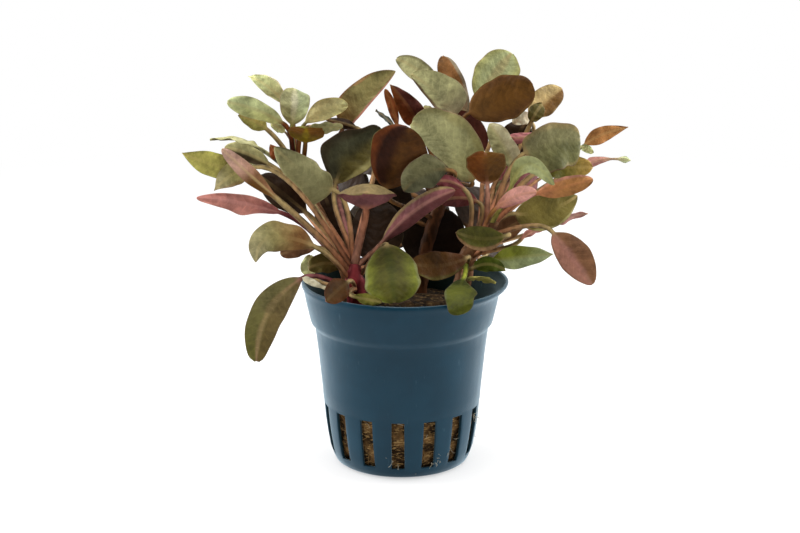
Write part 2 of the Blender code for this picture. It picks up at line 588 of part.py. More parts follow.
def sleeve_share(leaf, distance):
    """How far along its curve the stalk is that many millimetres from where it starts."""
    start = stalk_curve(leaf, 0.0)
    for i in range(1, CURVE_STEPS):
        if (stalk_curve(leaf, i / CURVE_STEPS) - start).length >= distance:
            return i / CURVE_STEPS
    return 1.0


def half_width(leaf, share):
    """Half the blade's width at a share of its length."""
    if leaf.outline == "pinched":
        for (a, low), (b, high) in zip(PINCHED, PINCHED[1:]):
            if share <= b:
                return leaf.width * 0.5 * (low + (high - low) * (share - a) / (b - a))
    widest, base_blunt, tip_blunt = OUTLINES[leaf.outline]
    if share <= widest:
        return leaf.width * 0.5 * max(1.0 - ((widest - share) / widest) ** 2, 0.0) ** base_blunt
    return leaf.width * 0.5 * max(1.0 - ((share - widest) / (1.0 - widest)) ** 2, 0.0) ** tip_blunt


def leaf_section(section, centre, upper, side, half, thick, cup, lean):
    """The points round one section: a flat lens whose sides rise a little from the midrib."""
    ring = []
    for across, above in section:
        lift = abs(across) * half * cup + above * thick
        ring.append(centre + side * (across + lean * abs(across)) * half + upper * lift)
    return ring


def leaf_stations(leaf, blade_stations):
    """(point, half width, thickness, cup, lean) from the stalk's lower end to the blade's tip."""
    begin = sleeve_share(leaf, stem_named(leaf.stem).sleeve)
    stations = []
    for share in STALK_STATIONS:
        point = stalk_curve(leaf, begin + (1.0 - begin) * share)
        stations.append((point, STALK_RADIUS, 2 * STALK_RADIUS, 0.0, 0.0))
    for share in blade_stations:
        half = max(half_width(leaf, share), STALK_RADIUS)
        flat = min(share / STALK_MERGES, 1.0)
        thick = 2 * STALK_RADIUS * (1.0 - flat) + BLADE_THICKNESS * flat
        if share > TIP_BEGINS:
            thick *= TIP_THINNING
        lean = LEANS.get(leaf.name, 0.0) * flat
        stations.append((blade_curve(leaf, share), half, thick, CUP * flat, lean))
    return stations


def section_frames(points, leaf, set_at):
    """The tangent and the upper side's direction at every station, carried along from one without twist."""
    tangents = []
    for i in range(len(points)):
        ahead = points[min(i + 1, len(points) - 1)] - points[max(i - 1, 0)]
        tangents.append(ahead.normalized())
    tangent = tangents[set_at]
    to_eye = (EYE - points[set_at]).normalized()
    facing = (to_eye - tangent * to_eye.dot(tangent)).normalized()
    upper = Quaternion(tangent, math.radians(leaf.roll)) @ facing
    uppers = [None] * len(points)
    uppers[set_at] = upper
    for order in (range(set_at + 1, len(points)), range(set_at - 1, -1, -1)):
        carried = upper
        for i in order:
            carried = (carried - tangents[i] * carried.dot(tangents[i])).normalized()
            uppers[i] = carried
    return tangents, uppers


def leaf_rings(leaf, blade_stations, section):
    stations = leaf_stations(leaf, blade_stations)
    points = [station[0] for station in stations]
    middle = len(STALK_STATIONS) + len(blade_stations) // 2
    tangents, uppers = section_frames(points, leaf, middle)
    rings = []
    for (centre, half, thick, cup, lean), tangent, upper in zip(stations, tangents, uppers):
        side = tangent.cross(upper)
        rings.append(leaf_section(section, centre, upper, side, half, thick, cup, lean))
    return rings


def make_leaf(leaf):
    shape = bmesh.new()
    join_rings(shape, leaf_rings(leaf, BLADE_STATIONS, SECTION))
    return add_object(leaf.name, shape, material(leaf.name, leaf.colour, 0.5))


def sleeve_rings(leaf, reach):
    """The lower end of a leaf's stalk, from the stem's centre line to a gap before the leaf's own solid."""
    start = stalk_curve(leaf, 0.0)
    stop = stalk_curve(leaf, sleeve_share(leaf, reach))
    stop = stop + (start - stop).normalized() * SLEEVE_GAP
    return tube_rings([start, stop], [STALK_RADIUS, STALK_RADIUS], SLEEVE_SIDES)


def small_leaf_rings(leaf):
    """A small leaf with its stalk, which begins on the stem's centre line."""
    rings = leaf_rings(leaf, SMALL_BLADE_STATIONS, SMALL_SECTION)
    inward = stalk_curve(leaf, 0.0) - centre_of(rings[0])
    return [[point + inward for point in rings[0]]] + rings


def centre_of(ring):
    return sum(ring, Vector()) / len(ring)


def make_stem(stem):
    """The stem, with the lower end of each leaf's stalk and its small leaves, as one piece."""
    look = material(stem.name, "stalk", 0.5)
    shape = bmesh.new()
    join_rings(shape, tube_rings([Vector(point) for point in stem.path], stem.radii, STEM_SIDES))
    made = add_object(stem.name, shape, look)
    grown = bmesh.new()
    for leaf in LEAVES:
        if leaf.stem == stem.name:
            join_rings(grown, sleeve_rings(leaf, stem.sleeve))
    for leaf in SMALL_LEAVES:
        if leaf.stem == stem.name:
            join_rings(grown, small_leaf_rings(leaf))
    add_boolean(made, add_object(stem.name + "_growth", grown, look), "UNION")
    return made


def main():
    clear_scene()
    make_pot(material("pot", "teal", 0.45))
    make_wool(material("rockwool", "wool", 0.95))
    for stem in STEMS:
        make_stem(stem)
    for leaf in LEAVES:
        make_leaf(leaf)


main()
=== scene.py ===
"""The looks of the potted mini cardinal flower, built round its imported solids.

Leaves are placed as in the solids: across and up as seen from the front, in the plane that is square to the
view and goes through the middle of the pot's mouth, then nearer to the eye or further off. All lengths are
millimetres until a mesh is made.
"""

import math
import random
from collections import namedtuple

import bmesh
import bpy
import numpy as np
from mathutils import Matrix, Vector, noise


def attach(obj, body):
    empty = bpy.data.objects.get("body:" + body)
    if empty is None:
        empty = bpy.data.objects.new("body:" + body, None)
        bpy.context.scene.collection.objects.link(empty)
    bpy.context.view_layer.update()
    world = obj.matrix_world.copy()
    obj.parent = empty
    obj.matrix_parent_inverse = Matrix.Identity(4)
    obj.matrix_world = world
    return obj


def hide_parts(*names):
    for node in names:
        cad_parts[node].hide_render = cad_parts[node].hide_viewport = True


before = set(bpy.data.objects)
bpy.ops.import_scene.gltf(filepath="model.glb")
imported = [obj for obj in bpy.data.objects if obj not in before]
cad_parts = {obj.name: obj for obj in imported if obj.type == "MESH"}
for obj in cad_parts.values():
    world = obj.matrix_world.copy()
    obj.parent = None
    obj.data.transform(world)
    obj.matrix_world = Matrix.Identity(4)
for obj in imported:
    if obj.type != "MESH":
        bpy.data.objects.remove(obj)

MM = 0.001
WHITE = (1.0, 1.0, 1.0, 1.0)
BLACK = (0.0, 0.0, 0.0, 1.0)

# The pot, in millimetres. The slots' turn is in degrees, and the lip's widening and narrowing are shares.
POT_HEIGHT = 51.0
MOUTH_RADIUS = 27.5
WALL = 0.9
FLOOR = 1.2
SLOT_FOOT = 3.2
SLOT_TOP = 16.9
SLOT_COUNT = 15
SLOT_WIDTH = 3.6
FRONT_SLOT_TURN = -3.0
SLOT_COLUMNS = 4
BAR_COLUMNS = 5
LIP_HEIGHT = 3.0
LIP_WIDENING = 0.03
LIP_NARROWING = 0.025
LIP_SHIFT = 0.9
EDGE_ROUNDING = 0.16
ROUNDED_FROM = math.radians(55)

# (radius, height) up the outside of the pot's wall.
WALL_PROFILE = (
    (16.3, 0.0), (17.5, 0.18), (18.3, 0.7), (18.9, 1.9), (19.4, SLOT_FOOT), (19.9, 4.8), (20.55, 8.5),
    (21.1, 12.5), (21.5, SLOT_TOP), (21.5, 17.5), (21.65, 17.9), (21.9, 21.0), (22.4, 26.0), (22.9, 31.0),
    (23.45, 35.5), (23.8, 38.3), (24.1, 39.0), (24.9, 39.9), (25.15, 40.7), (25.6, 42.6), (26.2, 45.3),
    (26.7, 48.0), (27.1, 49.4), (27.45, 49.9), (MOUTH_RADIUS, 50.3), (MOUTH_RADIUS, POT_HEIGHT),
)

# The wool: its radius, how far it stays off the wall, its foot, and the edge and the middle of its top.
WOOL_RADIUS = 21.8
WOOL_GAP = 0.55
WOOL_FOOT = FLOOR + 0.4
WOOL_EDGE = 43.0
WOOL_CROWN = 46.3
WOOL_COLUMNS = 120
WOOL_ROWS = 46
WOOL_RINGS = 16

# How rough the wool's side and top are, and how far they stand in to leave room for that. The sizes are how
# often the roughness changes: round the side and up it, and across the top.
SIDE_INSET = 0.35
SIDE_LUMPS = 0.55
SIDE_GRAIN = 0.35
SIDE_LUMP_SIZE = (4.0, 0.25)
SIDE_GRAIN_SIZE = (16.0, 0.9)
TOP_INSET = 0.6
TOP_LUMPS = 0.9
TOP_GRAIN = 0.5
TOP_LUMP_SIZE = 0.25

# Loose fibres and roots seen in the slots: name, colour, how many, how far they may stand beyond the wall's
# inner face, and their radius.
FIBRES = (
    ("straw_fibres", (142, 110, 66), 170, 0.2, 0.09),
    ("dark_fibres", (74, 52, 32), 150, 0.2, 0.12),
    ("pale_roots", (205, 198, 176), 30, 0.4, 0.055),
)

# Tufts of pale roots outside the slots: the turn about the pot, the height and how many. What follows them is
# how far outside or inside the wall's inner face a root or fibre starts, how long it is and how it wanders.
ROOT_TUFTS = ((-62.0, 5.5, 9), (-50.0, 9.0, 5), (-14.0, 14.5, 12), (-8.0, 8.0, 6), (-97.0, 5.0, 4))
ROOT_CLEARANCE = 0.3
ROOT_START = 0.2
ROOT_SPREAD = (4.0, 1.5)
ROOT_LENGTHS = (1.5, 3.2)
ROOT_RISE = (-1.6, 0.2)
ROOT_STEPS = 8
ROOT_BEND = 0.5
FIBRE_DEPTH = 0.5
FIBRE_LENGTHS = (2.0, 5.0)
FIBRE_RISE = (-1.4, 0.6)
FIBRE_STEPS = 7
FIBRE_BEND = 0.45
FIBRE_TAPER = 0.6
FIBRE_SIDES = 5
FIBRE_SEED = 11

# The front view: the eye looks down a little at the plant.
VIEW_TILT = math.radians(15.4)
EYE_DISTANCE = 640.0
AIM = np.array((-0.5, 0.0, 54.9))
EYE = AIM + EYE_DISTANCE * np.array((0.0, -math.cos(VIEW_TILT), math.sin(VIEW_TILT)))
MOUTH = np.array((0.0, 0.0, POT_HEIGHT))
ACROSS = np.array((1.0, 0.0, 0.0))
UP = np.array((0.0, math.sin(VIEW_TILT), math.cos(VIEW_TILT)))
LENS = 105.4
SENSOR = 36.0

# Stalks, in millimetres and shares: how they rise from the stem and meet the blade, and how much lower than
# round their upper side is.
STALK_RADIUS = 0.65
STALK_LIFT = 0.35
STALK_LEAVING = 0.35
STALK_ARRIVING = 0.3
STALK_SWELL = 0.25
STALK_TOP = 0.7

# Blades, in millimetres and shares of their length or width. The sizes are how often waves and puckers change
# along the blade and across it.
BLADE_THICKNESS = 0.34
EDGE_THICKNESS = 0.12
BLADE_END = 0.995
BLADE_STARTS = (-0.02, 0.22)
LEAST_HALF_WIDTH = 0.15
PUCKER = 0.25
MARGIN_NOISE = 0.09
WAVE_SIZE = (4.5, 1.2)
PUCKER_SIZE = (7.0, 2.0)
MARGIN_SIZE = 5.0
LOBE_LENGTH = 0.13
RIB_HALF = 0.6
RIB_TAPER = 0.8
RIB_BELOW = 0.8
RIB_ABOVE = 0.15
FOOT_WIDTH = 0.9
VEIN_SPACING = 2.3
FEWEST_VEINS = 3.0
VEIN_SLOPE = 0.9
VEIN_RELIEF = 0.08

# How finely leaves are made: points round a ring, then rings along the blade and along the stalk.
RING_POINTS = 26
LARGE_RINGS = (40, 14)
SMALL_RINGS = (24, 12)

# Each leaf has its own seed: where the seeds begin, and the step to the next leaf's.
LARGE_SEEDS = (0.0, 1.3)
SMALL_SEEDS = (100.0, 1.7)

# The strength of each part of the leaves' pattern, and its size in millimetres.
LEAF_GAIN = 1.1
STALK_GAIN = 0.95
LEAF_SPECULAR = 0.08
TINT_WANDER = 0.4
BLOTCH_STRENGTH = 0.5
BLOTCH_SIZE = 6.0
SPECK_STRENGTH = 0.22
SPECK_SIZE = 1.1
VEIN_STRENGTH = 0.17
VEIN_LINE = 0.1
VEIN_BEND = 0.9
NET_STRENGTH = 0.08
NET_SIZE = 1.2
NET_LINE = 0.12
RIB_STRENGTH = 0.6
RIM_STRENGTH = 0.35
STREAK_SIZE = 1.5

# The studio: how strongly the white surround lights the plant from behind and from the front, then the
# floor's own light, its albedo, and how far it reaches in metres.
BACK_LIGHT = 1.6
FRONT_LIGHT = 0.14
FLOOR_GLOW = 0.52
FLOOR_ALBEDO = 0.42
FLOOR_REACH = 6.0

# How far from the middle, in millimetres, the floor begins to turn into the white surround, and where it has.
FLOOR_FADE = (90.0, 400.0)

# Soft boxes: name, place and width in metres, and power in watts. They face LIT_POINT.
LIGHTS = (
    ("left_box", (-0.75, 0.25, 0.30), 0.6, 8.5),
    ("right_box", (0.75, 0.25, 0.30), 0.6, 7.5),
    ("top_box", (0.0, -0.1, 0.9), 0.7, 6.0),
)
LIT_POINT = Vector((0.0, 0.0, 0.05))

# Each outline: how far along the blade it is widest, then how blunt its base and its tip are.
OUTLINES = {
    "oval": (0.50, 0.80, 0.55),
    "round": (0.52, 0.55, 0.50),
    "pointed": (0.42, 0.95, 1.05),
    "spoon": (0.66, 1.30, 0.55),
    "broad": (0.40, 0.60, 0.75),
    "blunt": (0.56, 0.70, 0.45),
    "square": (0.52, 0.42, 0.38),
    "egg": (0.60, 0.60, 0.50),
    "fan": (0.64, 0.95, 0.45),
    "wedge": (0.18, 0.40, 0.90),
}

# Half widths along the leaf that has shrivelled to a thread behind its tip.
PINCHED = ((0.0, 0.35), (0.15, 1.0), (0.45, 0.55), (0.6, 0.2), (0.75, 0.25), (0.9, 0.75), (1.0, 0.0))

# Colours, red, green and blue from 0 to 255: leaves and stalks, then the pot and the wool.
COLOURS = {
    "pale_green": (160, 164, 114),
    "sage": (150, 147, 103),
    "grey_green": (126, 122, 84),
    "khaki": (130, 122, 76),
    "olive": (98, 95, 36),
    "deep_olive": (76, 68, 32),
    "lime": (142, 148, 52),
    "straw": (152, 146, 76),
    "tan": (160, 138, 92),
    "umber": (98, 64, 24),
    "russet": (112, 58, 26),
    "orange": (154, 106, 60),
    "rose": (168, 112, 100),
    "pink": (182, 130, 118),
    "mauve": (146, 92, 92),
    "plum": (90, 44, 42),
    "maroon": (64, 30, 22),
    "crimson": (140, 56, 60),
    "flesh": (188, 134, 110),
    "dusk": (112, 78, 52),
    "bark": (84, 52, 30),
    # shade stands for painted shade: a near-black brown for the undersides of leaves deep in the plant and
    # for the shadowed parts of some blades.
    "shade": (38, 25, 14),
    "wine": (105, 52, 55),
    "slate": (52, 56, 46),
    "bleached": (205, 198, 168),
    "leaf_green": (66, 76, 18),
    "mint": (165, 175, 130),
    "amber": (130, 112, 24),
    "ash": (166, 158, 132),
    "hazel": (128, 92, 52),
    "salmon": (170, 110, 80),
    "ochre": (150, 122, 62),
    "teal": (2, 48, 66),
    "light_teal": (6, 54, 73),
    # pot_inside is painted shade: the pot's teal darkened for its shadowed inner skin.
    "pot_inside": (4, 32, 30),
    "scuffed": (96, 126, 140),
    "pot_sheen": (176, 206, 222),
    "wet_wool": (44, 30, 17),
    "brown_wool": (128, 96, 58),
    "dry_wool": (190, 154, 100),
}

# Each stem: points from its root to its top, its radius at each, its colour, and the colours of its leaves'
# stalks by the stem and by the blade.
Stem = namedtuple("Stem", "path radii colour stalks")
STEMS = {
    "crown_left": Stem(
        ((-10.5, -2.0, 38.5), (-12.0, -3.5, 46.5), (-12.8, -4.4, 52.0), (-12.8, -4.4, 56.5)),
        (2.8, 3.0, 2.8, 1.5), "crimson", ("salmon", "tan")),
    "crown_right": Stem(
        ((13.0, 0.0, 38.5), (16.5, 0.3, 50.0), (18.2, 0.5, 58.0), (22.0, 1.2, 63.0), (25.4, 1.8, 67.0)),
        (2.4, 2.4, 2.4, 1.9, 1.3), "dusk", ("salmon", "tan")),
    "crown_back": Stem(
        ((4.0, 8.0, 38.5), (5.0, 9.0, 50.0), (8.0, 10.0, 62.0), (12.0, 10.5, 73.0), (15.0, 10.5, 82.0)),
        (2.6, 2.6, 2.0, 1.6, 1.2), "bark", ("dusk", "hazel")),
    "young_shoot": Stem(
        ((-13.0, 7.0, 38.5), (-15.5, 8.0, 50.0), (-21.5, 9.0, 66.0), (-27.6, 9.3, 77.0), (-29.6, 9.5, 83.5)),
        (1.5, 1.4, 1.2, 1.1, 0.9), "dusk", ("russet", "hazel")),
}
STEM_SIDES = 18
STEM_STEPS = 8
STEM_ROUGHNESS = 0.16

# Each leaf, under the name of its stem: its own name, its place on the stem, outline, width, roll (0 shows
# the upper side to the front, 180 the underside), the colours of its upper side and underside, how many times
# lighter it is than they are, then (across, up, nearer) for the base, middle and tip of its blade. That
# lightness is partly the leaf's own tone and partly painted shade, lowest on leaves that lie low or deep in
# the plant.
Leaf = namedtuple("Leaf", "stem key level outline width roll upper under light base middle tip")
LEAF_ROWS = (
    "young_shoot",
    ("shoot_long", 0.96, "pointed", 4.8, 0, "pale_green", "rose", 1.45,
     (-31.8, 48.2, -10), (-36.8, 53, -8), (-42, 55.8, -11)),
    ("shoot_top", 1, "egg", 8.4, 0, "sage", "rose", 0.85,
     (-30, 42.6, 1), (-29.4, 47.8, 1), (-29.3, 52.3, -3)),
    ("shoot_right", 0.92, "oval", 5.6, 0, "sage", "mauve", 1.6,
     (-26.4, 43, -8), (-20.8, 46.9, -6), (-14.8, 47.6, -7)),
    ("shoot_front", 0.86, "oval", 10.2, 180, "olive", "umber", 1,
     (-26.4, 37.6, 7), (-26.2, 40.2, 8), (-26, 41.8, 11)),
    ("shoot_left", 1, "blunt", 5.4, 0, "pale_green", "mauve", 1,
     (-32.6, 43, 7), (-39.6, 46.6, 7), (-47.8, 48.8, 5)),
    "crown_left",
    ("left_olive", 0.97, "oval", 5.2, 0, "grey_green", "plum", 1.3,
     (-36.2, 31.6, -5), (-42.2, 34.6, -6), (-48.5, 36.4, -8)),
    ("left_far", 0.76, "pointed", 7.2, 0, "straw", "dusk", 1.05,
     (-44.5, 30, -16), (-52.2, 31.8, -17), (-60.2, 34.8, -18)),
    ("left_dipping", 0.9, "pointed", 6.8, 0, "khaki", "plum", 1.35,
     (-40.5, 31, 9), (-46.4, 28.9, 7), (-51.4, 24.5, 9)),
    ("left_pink_tip", 0.78, "oval", 4.4, 180, "grey_green", "dusk", 0.95,
     (-34.5, 22.6, 12), (-42.2, 29.4, 16), (-49.3, 36, 20)),
    ("left_purple", 0.66, "oval", 4.6, 180, "khaki", "rose", 1.1,
     (-32.8, 18.4, 8), (-43.6, 21.1, 11), (-56.3, 22.6, 12)),
    ("left_curled", 0.62, "broad", 7.4, 0, "khaki", "dusk", 0.95,
     (-24.4, 9.4, 13), (-36.2, 11.6, 17), (-39.9, 4.8, 20)),
    ("left_drooping", 0.5, "blunt", 9.2, 0, "khaki", "rose", 0.65,
     (-27.4, 0.5, 10), (-36.6, -8.8, 13), (-39.8, -22.3, 10)),
    ("rim_brown", 0.6, "round", 6.2, 0, "umber", "rose", 0.37,
     (-14.9, -0.6, 16), (-17.8, -2.9, 21), (-20.8, -5.8, 25)),
    ("front_round", 0.7, "egg", 15, 0, "olive", "mauve", 0.45,
     (-4, 9.6, 12), (-2.9, 2.2, 21), (-2, -6.3, 25)),
    ("arching", 1, "round", 16.4, 180, "tan", "mauve", 0.5,
     (-9.8, 19.6, 10), (-9.6, 26, 16), (-9.8, 23.6, 23)),
    ("middle_pink", 0.92, "oval", 5.8, 180, "tan", "mauve", 0.7,
     (-5.4, 10.3, 7), (4, 19.4, 10), (14.6, 24.6, 14)),
    ("left_grey", 0.95, "broad", 9.8, 0, "grey_green", "mauve", 0.85,
     (-19, 24.8, 7), (-26.2, 28.8, 9), (-35, 36.5, 9)),
    ("left_inner", 1, "blunt", 12.6, 0, "deep_olive", "plum", 1,
     (-18.2, 26.4, -2), (-13.4, 34.2, -3), (-4.4, 39.6, -6)),
    ("back_tall", 0.82, "broad", 8, 0, "khaki", "russet", 0.95,
     (-16.2, 41.4, -13), (-10.4, 49, -14), (-1.6, 57.2, -17)),
    "crown_right",
    ("right_dark", 0.5, "blunt", 7.6, 0, "umber", "plum", 0.42,
     (17.8, 6.2, 8), (10.4, 4, 13), (2.4, 4.6, 17)),
    ("rim_lime", 0.55, "fan", 8.2, 0, "lime", "rose", 0.21,
     (16.9, 0.4, 15), (15.6, -4.2, 23), (16.2, -9.5, 26)),
    ("right_bright", 0.52, "pointed", 6.4, 0, "lime", "pale_green", 0.6,
     (24.4, 5.4, 4), (32.6, 6.4, 4), (41.4, 7.1, 2)),
    ("right_hanging", 0.78, "oval", 9, 180, "grey_green", "rose", 0.6,
     (41.4, 13, 8), (46.3, 6.6, 11), (52.3, -1.2, 12)),
    ("right_olive", 0.93, "broad", 10, 0, "deep_olive", "plum", 1.9,
     (31, 18.2, 2), (39.6, 18.9, 0), (48, 23.2, -4)),
    ("right_orange", 1, "oval", 5.4, 180, "khaki", "orange", 0.9,
     (36.8, 23.7, 7), (44.7, 25.6, 9), (52.4, 27.6, 10)),
    ("right_pink", 0.8, "oval", 4.6, 180, "khaki", "pink", 1,
     (25.8, 19.7, 10), (30.9, 22.9, 14), (36.9, 24.1, 16)),
    ("right_folded", 0.93, "oval", 4.8, 0, "pale_green", "rose", 0.8,
     (29.8, 25.2, 9), (34.9, 31.8, 12), (41.8, 26, 16)),
    ("right_large", 0.95, "square", 12.8, 0, "grey_green", "mauve", 0.75,
     (33.6, 34.8, 6), (41, 37.8, 4), (48.8, 38.6, 0)),
    ("right_lower", 0.98, "oval", 6.6, 0, "olive", "plum", 1,
     (37.6, 29.6, 3), (45, 30.9, -1), (52.2, 30.8, -4)),
    ("right_far", 0.98, "pointed", 4.4, 0, "orange", "rose", 0.9,
     (49.9, 37, -13), (54.9, 39.9, -14), (62, 41.9, -16)),
    ("right_grey", 0.96, "oval", 6.6, 0, "sage", "mauve", 0.9,
     (30.4, 30.4, 0), (27.9, 36.9, -1), (24, 42.8, -4)),
    ("right_brown", 0.88, "round", 11, 180, "olive", "umber", 0.9,
     (23.4, 26.4, 11), (23.1, 31.6, 14), (22.9, 35, 19)),
    ("right_bowl", 0.57, "oval", 6.4, 0, "olive", "mauve", 0.5,
     (28.4, 12.2, 12), (21.6, 11.4, 13), (14.8, 13.2, 16)),
    "crown_back",
    ("top_brown", 1, "round", 12, 180, "olive", "umber", 0.75,
     (18.6, 45.8, 6), (27.4, 49.6, 9), (36.2, 52.8, 12)),
    ("top_pale", 0.94, "oval", 12.4, 0, "pale_green", "rose", 0.8,
     (21, 48.8, -9), (25.3, 55.6, -12), (30, 62.2, -17)),
    ("top_orange", 0.87, "oval", 6.9, 0, "orange", "mauve", 0.66,
     (17.8, 44.5, -10), (14.2, 53.2, -11), (11.2, 61.4, -14)),
    ("top_green", 0.92, "oval", 6.2, 0, "sage", "rose", 0.85,
     (10.6, 50.6, -8), (5.2, 56.8, -12), (-1.5, 60.6, -16)),
    ("top_wide", 1, "broad", 9.6, 0, "sage", "plum", 1,
     (14.2, 44.8, 0), (10.2, 50.4, 1), (2.4, 56.4, -2)),
    ("top_red", 0.76, "wedge", 6.6, 180, "khaki", "maroon", 1.3,
     (4.6, 43, -3), (1.4, 48, 0), (-3.2, 53.6, 4)),
    ("middle_brown", 0.6, "egg", 15.2, 180, "olive", "umber", 0.72,
     (-4.2, 25.2, 8), (-1.4, 33.8, 12), (2.2, 41.8, 14)),
    ("middle_pale", 0.85, "round", 13, 0, "sage", "mauve", 0.95,
     (19.2, 27, 5), (12.8, 36.8, 7), (2.6, 43, 4)),
    ("middle_grey", 0.72, "oval", 8.6, 0, "grey_green", "mauve", 0.5,
     (12.6, 30.2, 11.5), (6.2, 29.2, 13), (0.4, 24.4, 15)),
    "crown_right",
    ("top_right", 0.65, "oval", 8, 0, "tan", "mauve", 1,
     (35, 44.4, -14), (38.9, 48.8, -17), (43.8, 52.4, -21)),
    "crown_back",
    # Leaves deep at the back that fill the middle of the plant. Their undersides face the front; most take
    # the near-black shade colour, painted shade for the darkness inside the plant, and a few are plum or
    # maroon.
    ("rear_low", 0.4, "round", 17, 180, "olive", "shade", 1,
     (6, 6, -16), (8, 11.5, -22), (10, 14, -32)),
    ("rear_middle", 0.5, "round", 18, 180, "grey_green", "shade", 1,
     (4, 13, -16.5), (5, 19.5, -20.5), (6, 25, -28.5)),
    ("rear_left", 0.47, "round", 16, 180, "deep_olive", "shade", 1,
     (-6, 10, -14), (-8, 17, -18), (-11, 22, -26)),
    ("rear_right", 0.55, "oval", 14, 180, "khaki", "shade", 1,
     (18, 14, -18), (21, 20.5, -24), (25, 24, -33)),
    ("rear_inner", 0.62, "round", 15, 180, "olive", "shade", 1,
     (10, 24, -18), (12, 30, -24), (14, 33, -33)),
    ("rear_high", 0.72, "oval", 13, 180, "grey_green", "maroon", 1,
     (15, 35, -15), (17, 41, -19), (19, 44, -28)),
    ("rear_upper", 0.66, "oval", 14, 180, "deep_olive", "shade", 1,
     (-2, 28, -13), (-5, 34, -18), (-8, 37, -26)),
    ("rear_shoot", 0.58, "oval", 12, 180, "khaki", "shade", 1,
     (-10, 22, -16), (-15, 27, -22), (-19, 29, -30)),
    "crown_right",
    ("rear_outer", 0.82, "oval", 14, 180, "grey_green", "plum", 1,
     (28, 22, -14), (31.5, 29, -19), (35, 33, -28)),
    ("rear_rim", 0.6, "oval", 9.6, 180, "olive", "shade", 1,
     (23, 7, -14), (26, 10, -21), (28, 9, -29)),
    "young_shoot",
    ("rear_side", 0.36, "oval", 10.4, 180, "khaki", "plum", 1,
     (-18.5, 10, -12), (-20.5, 15, -18), (-22, 16, -26)),
)

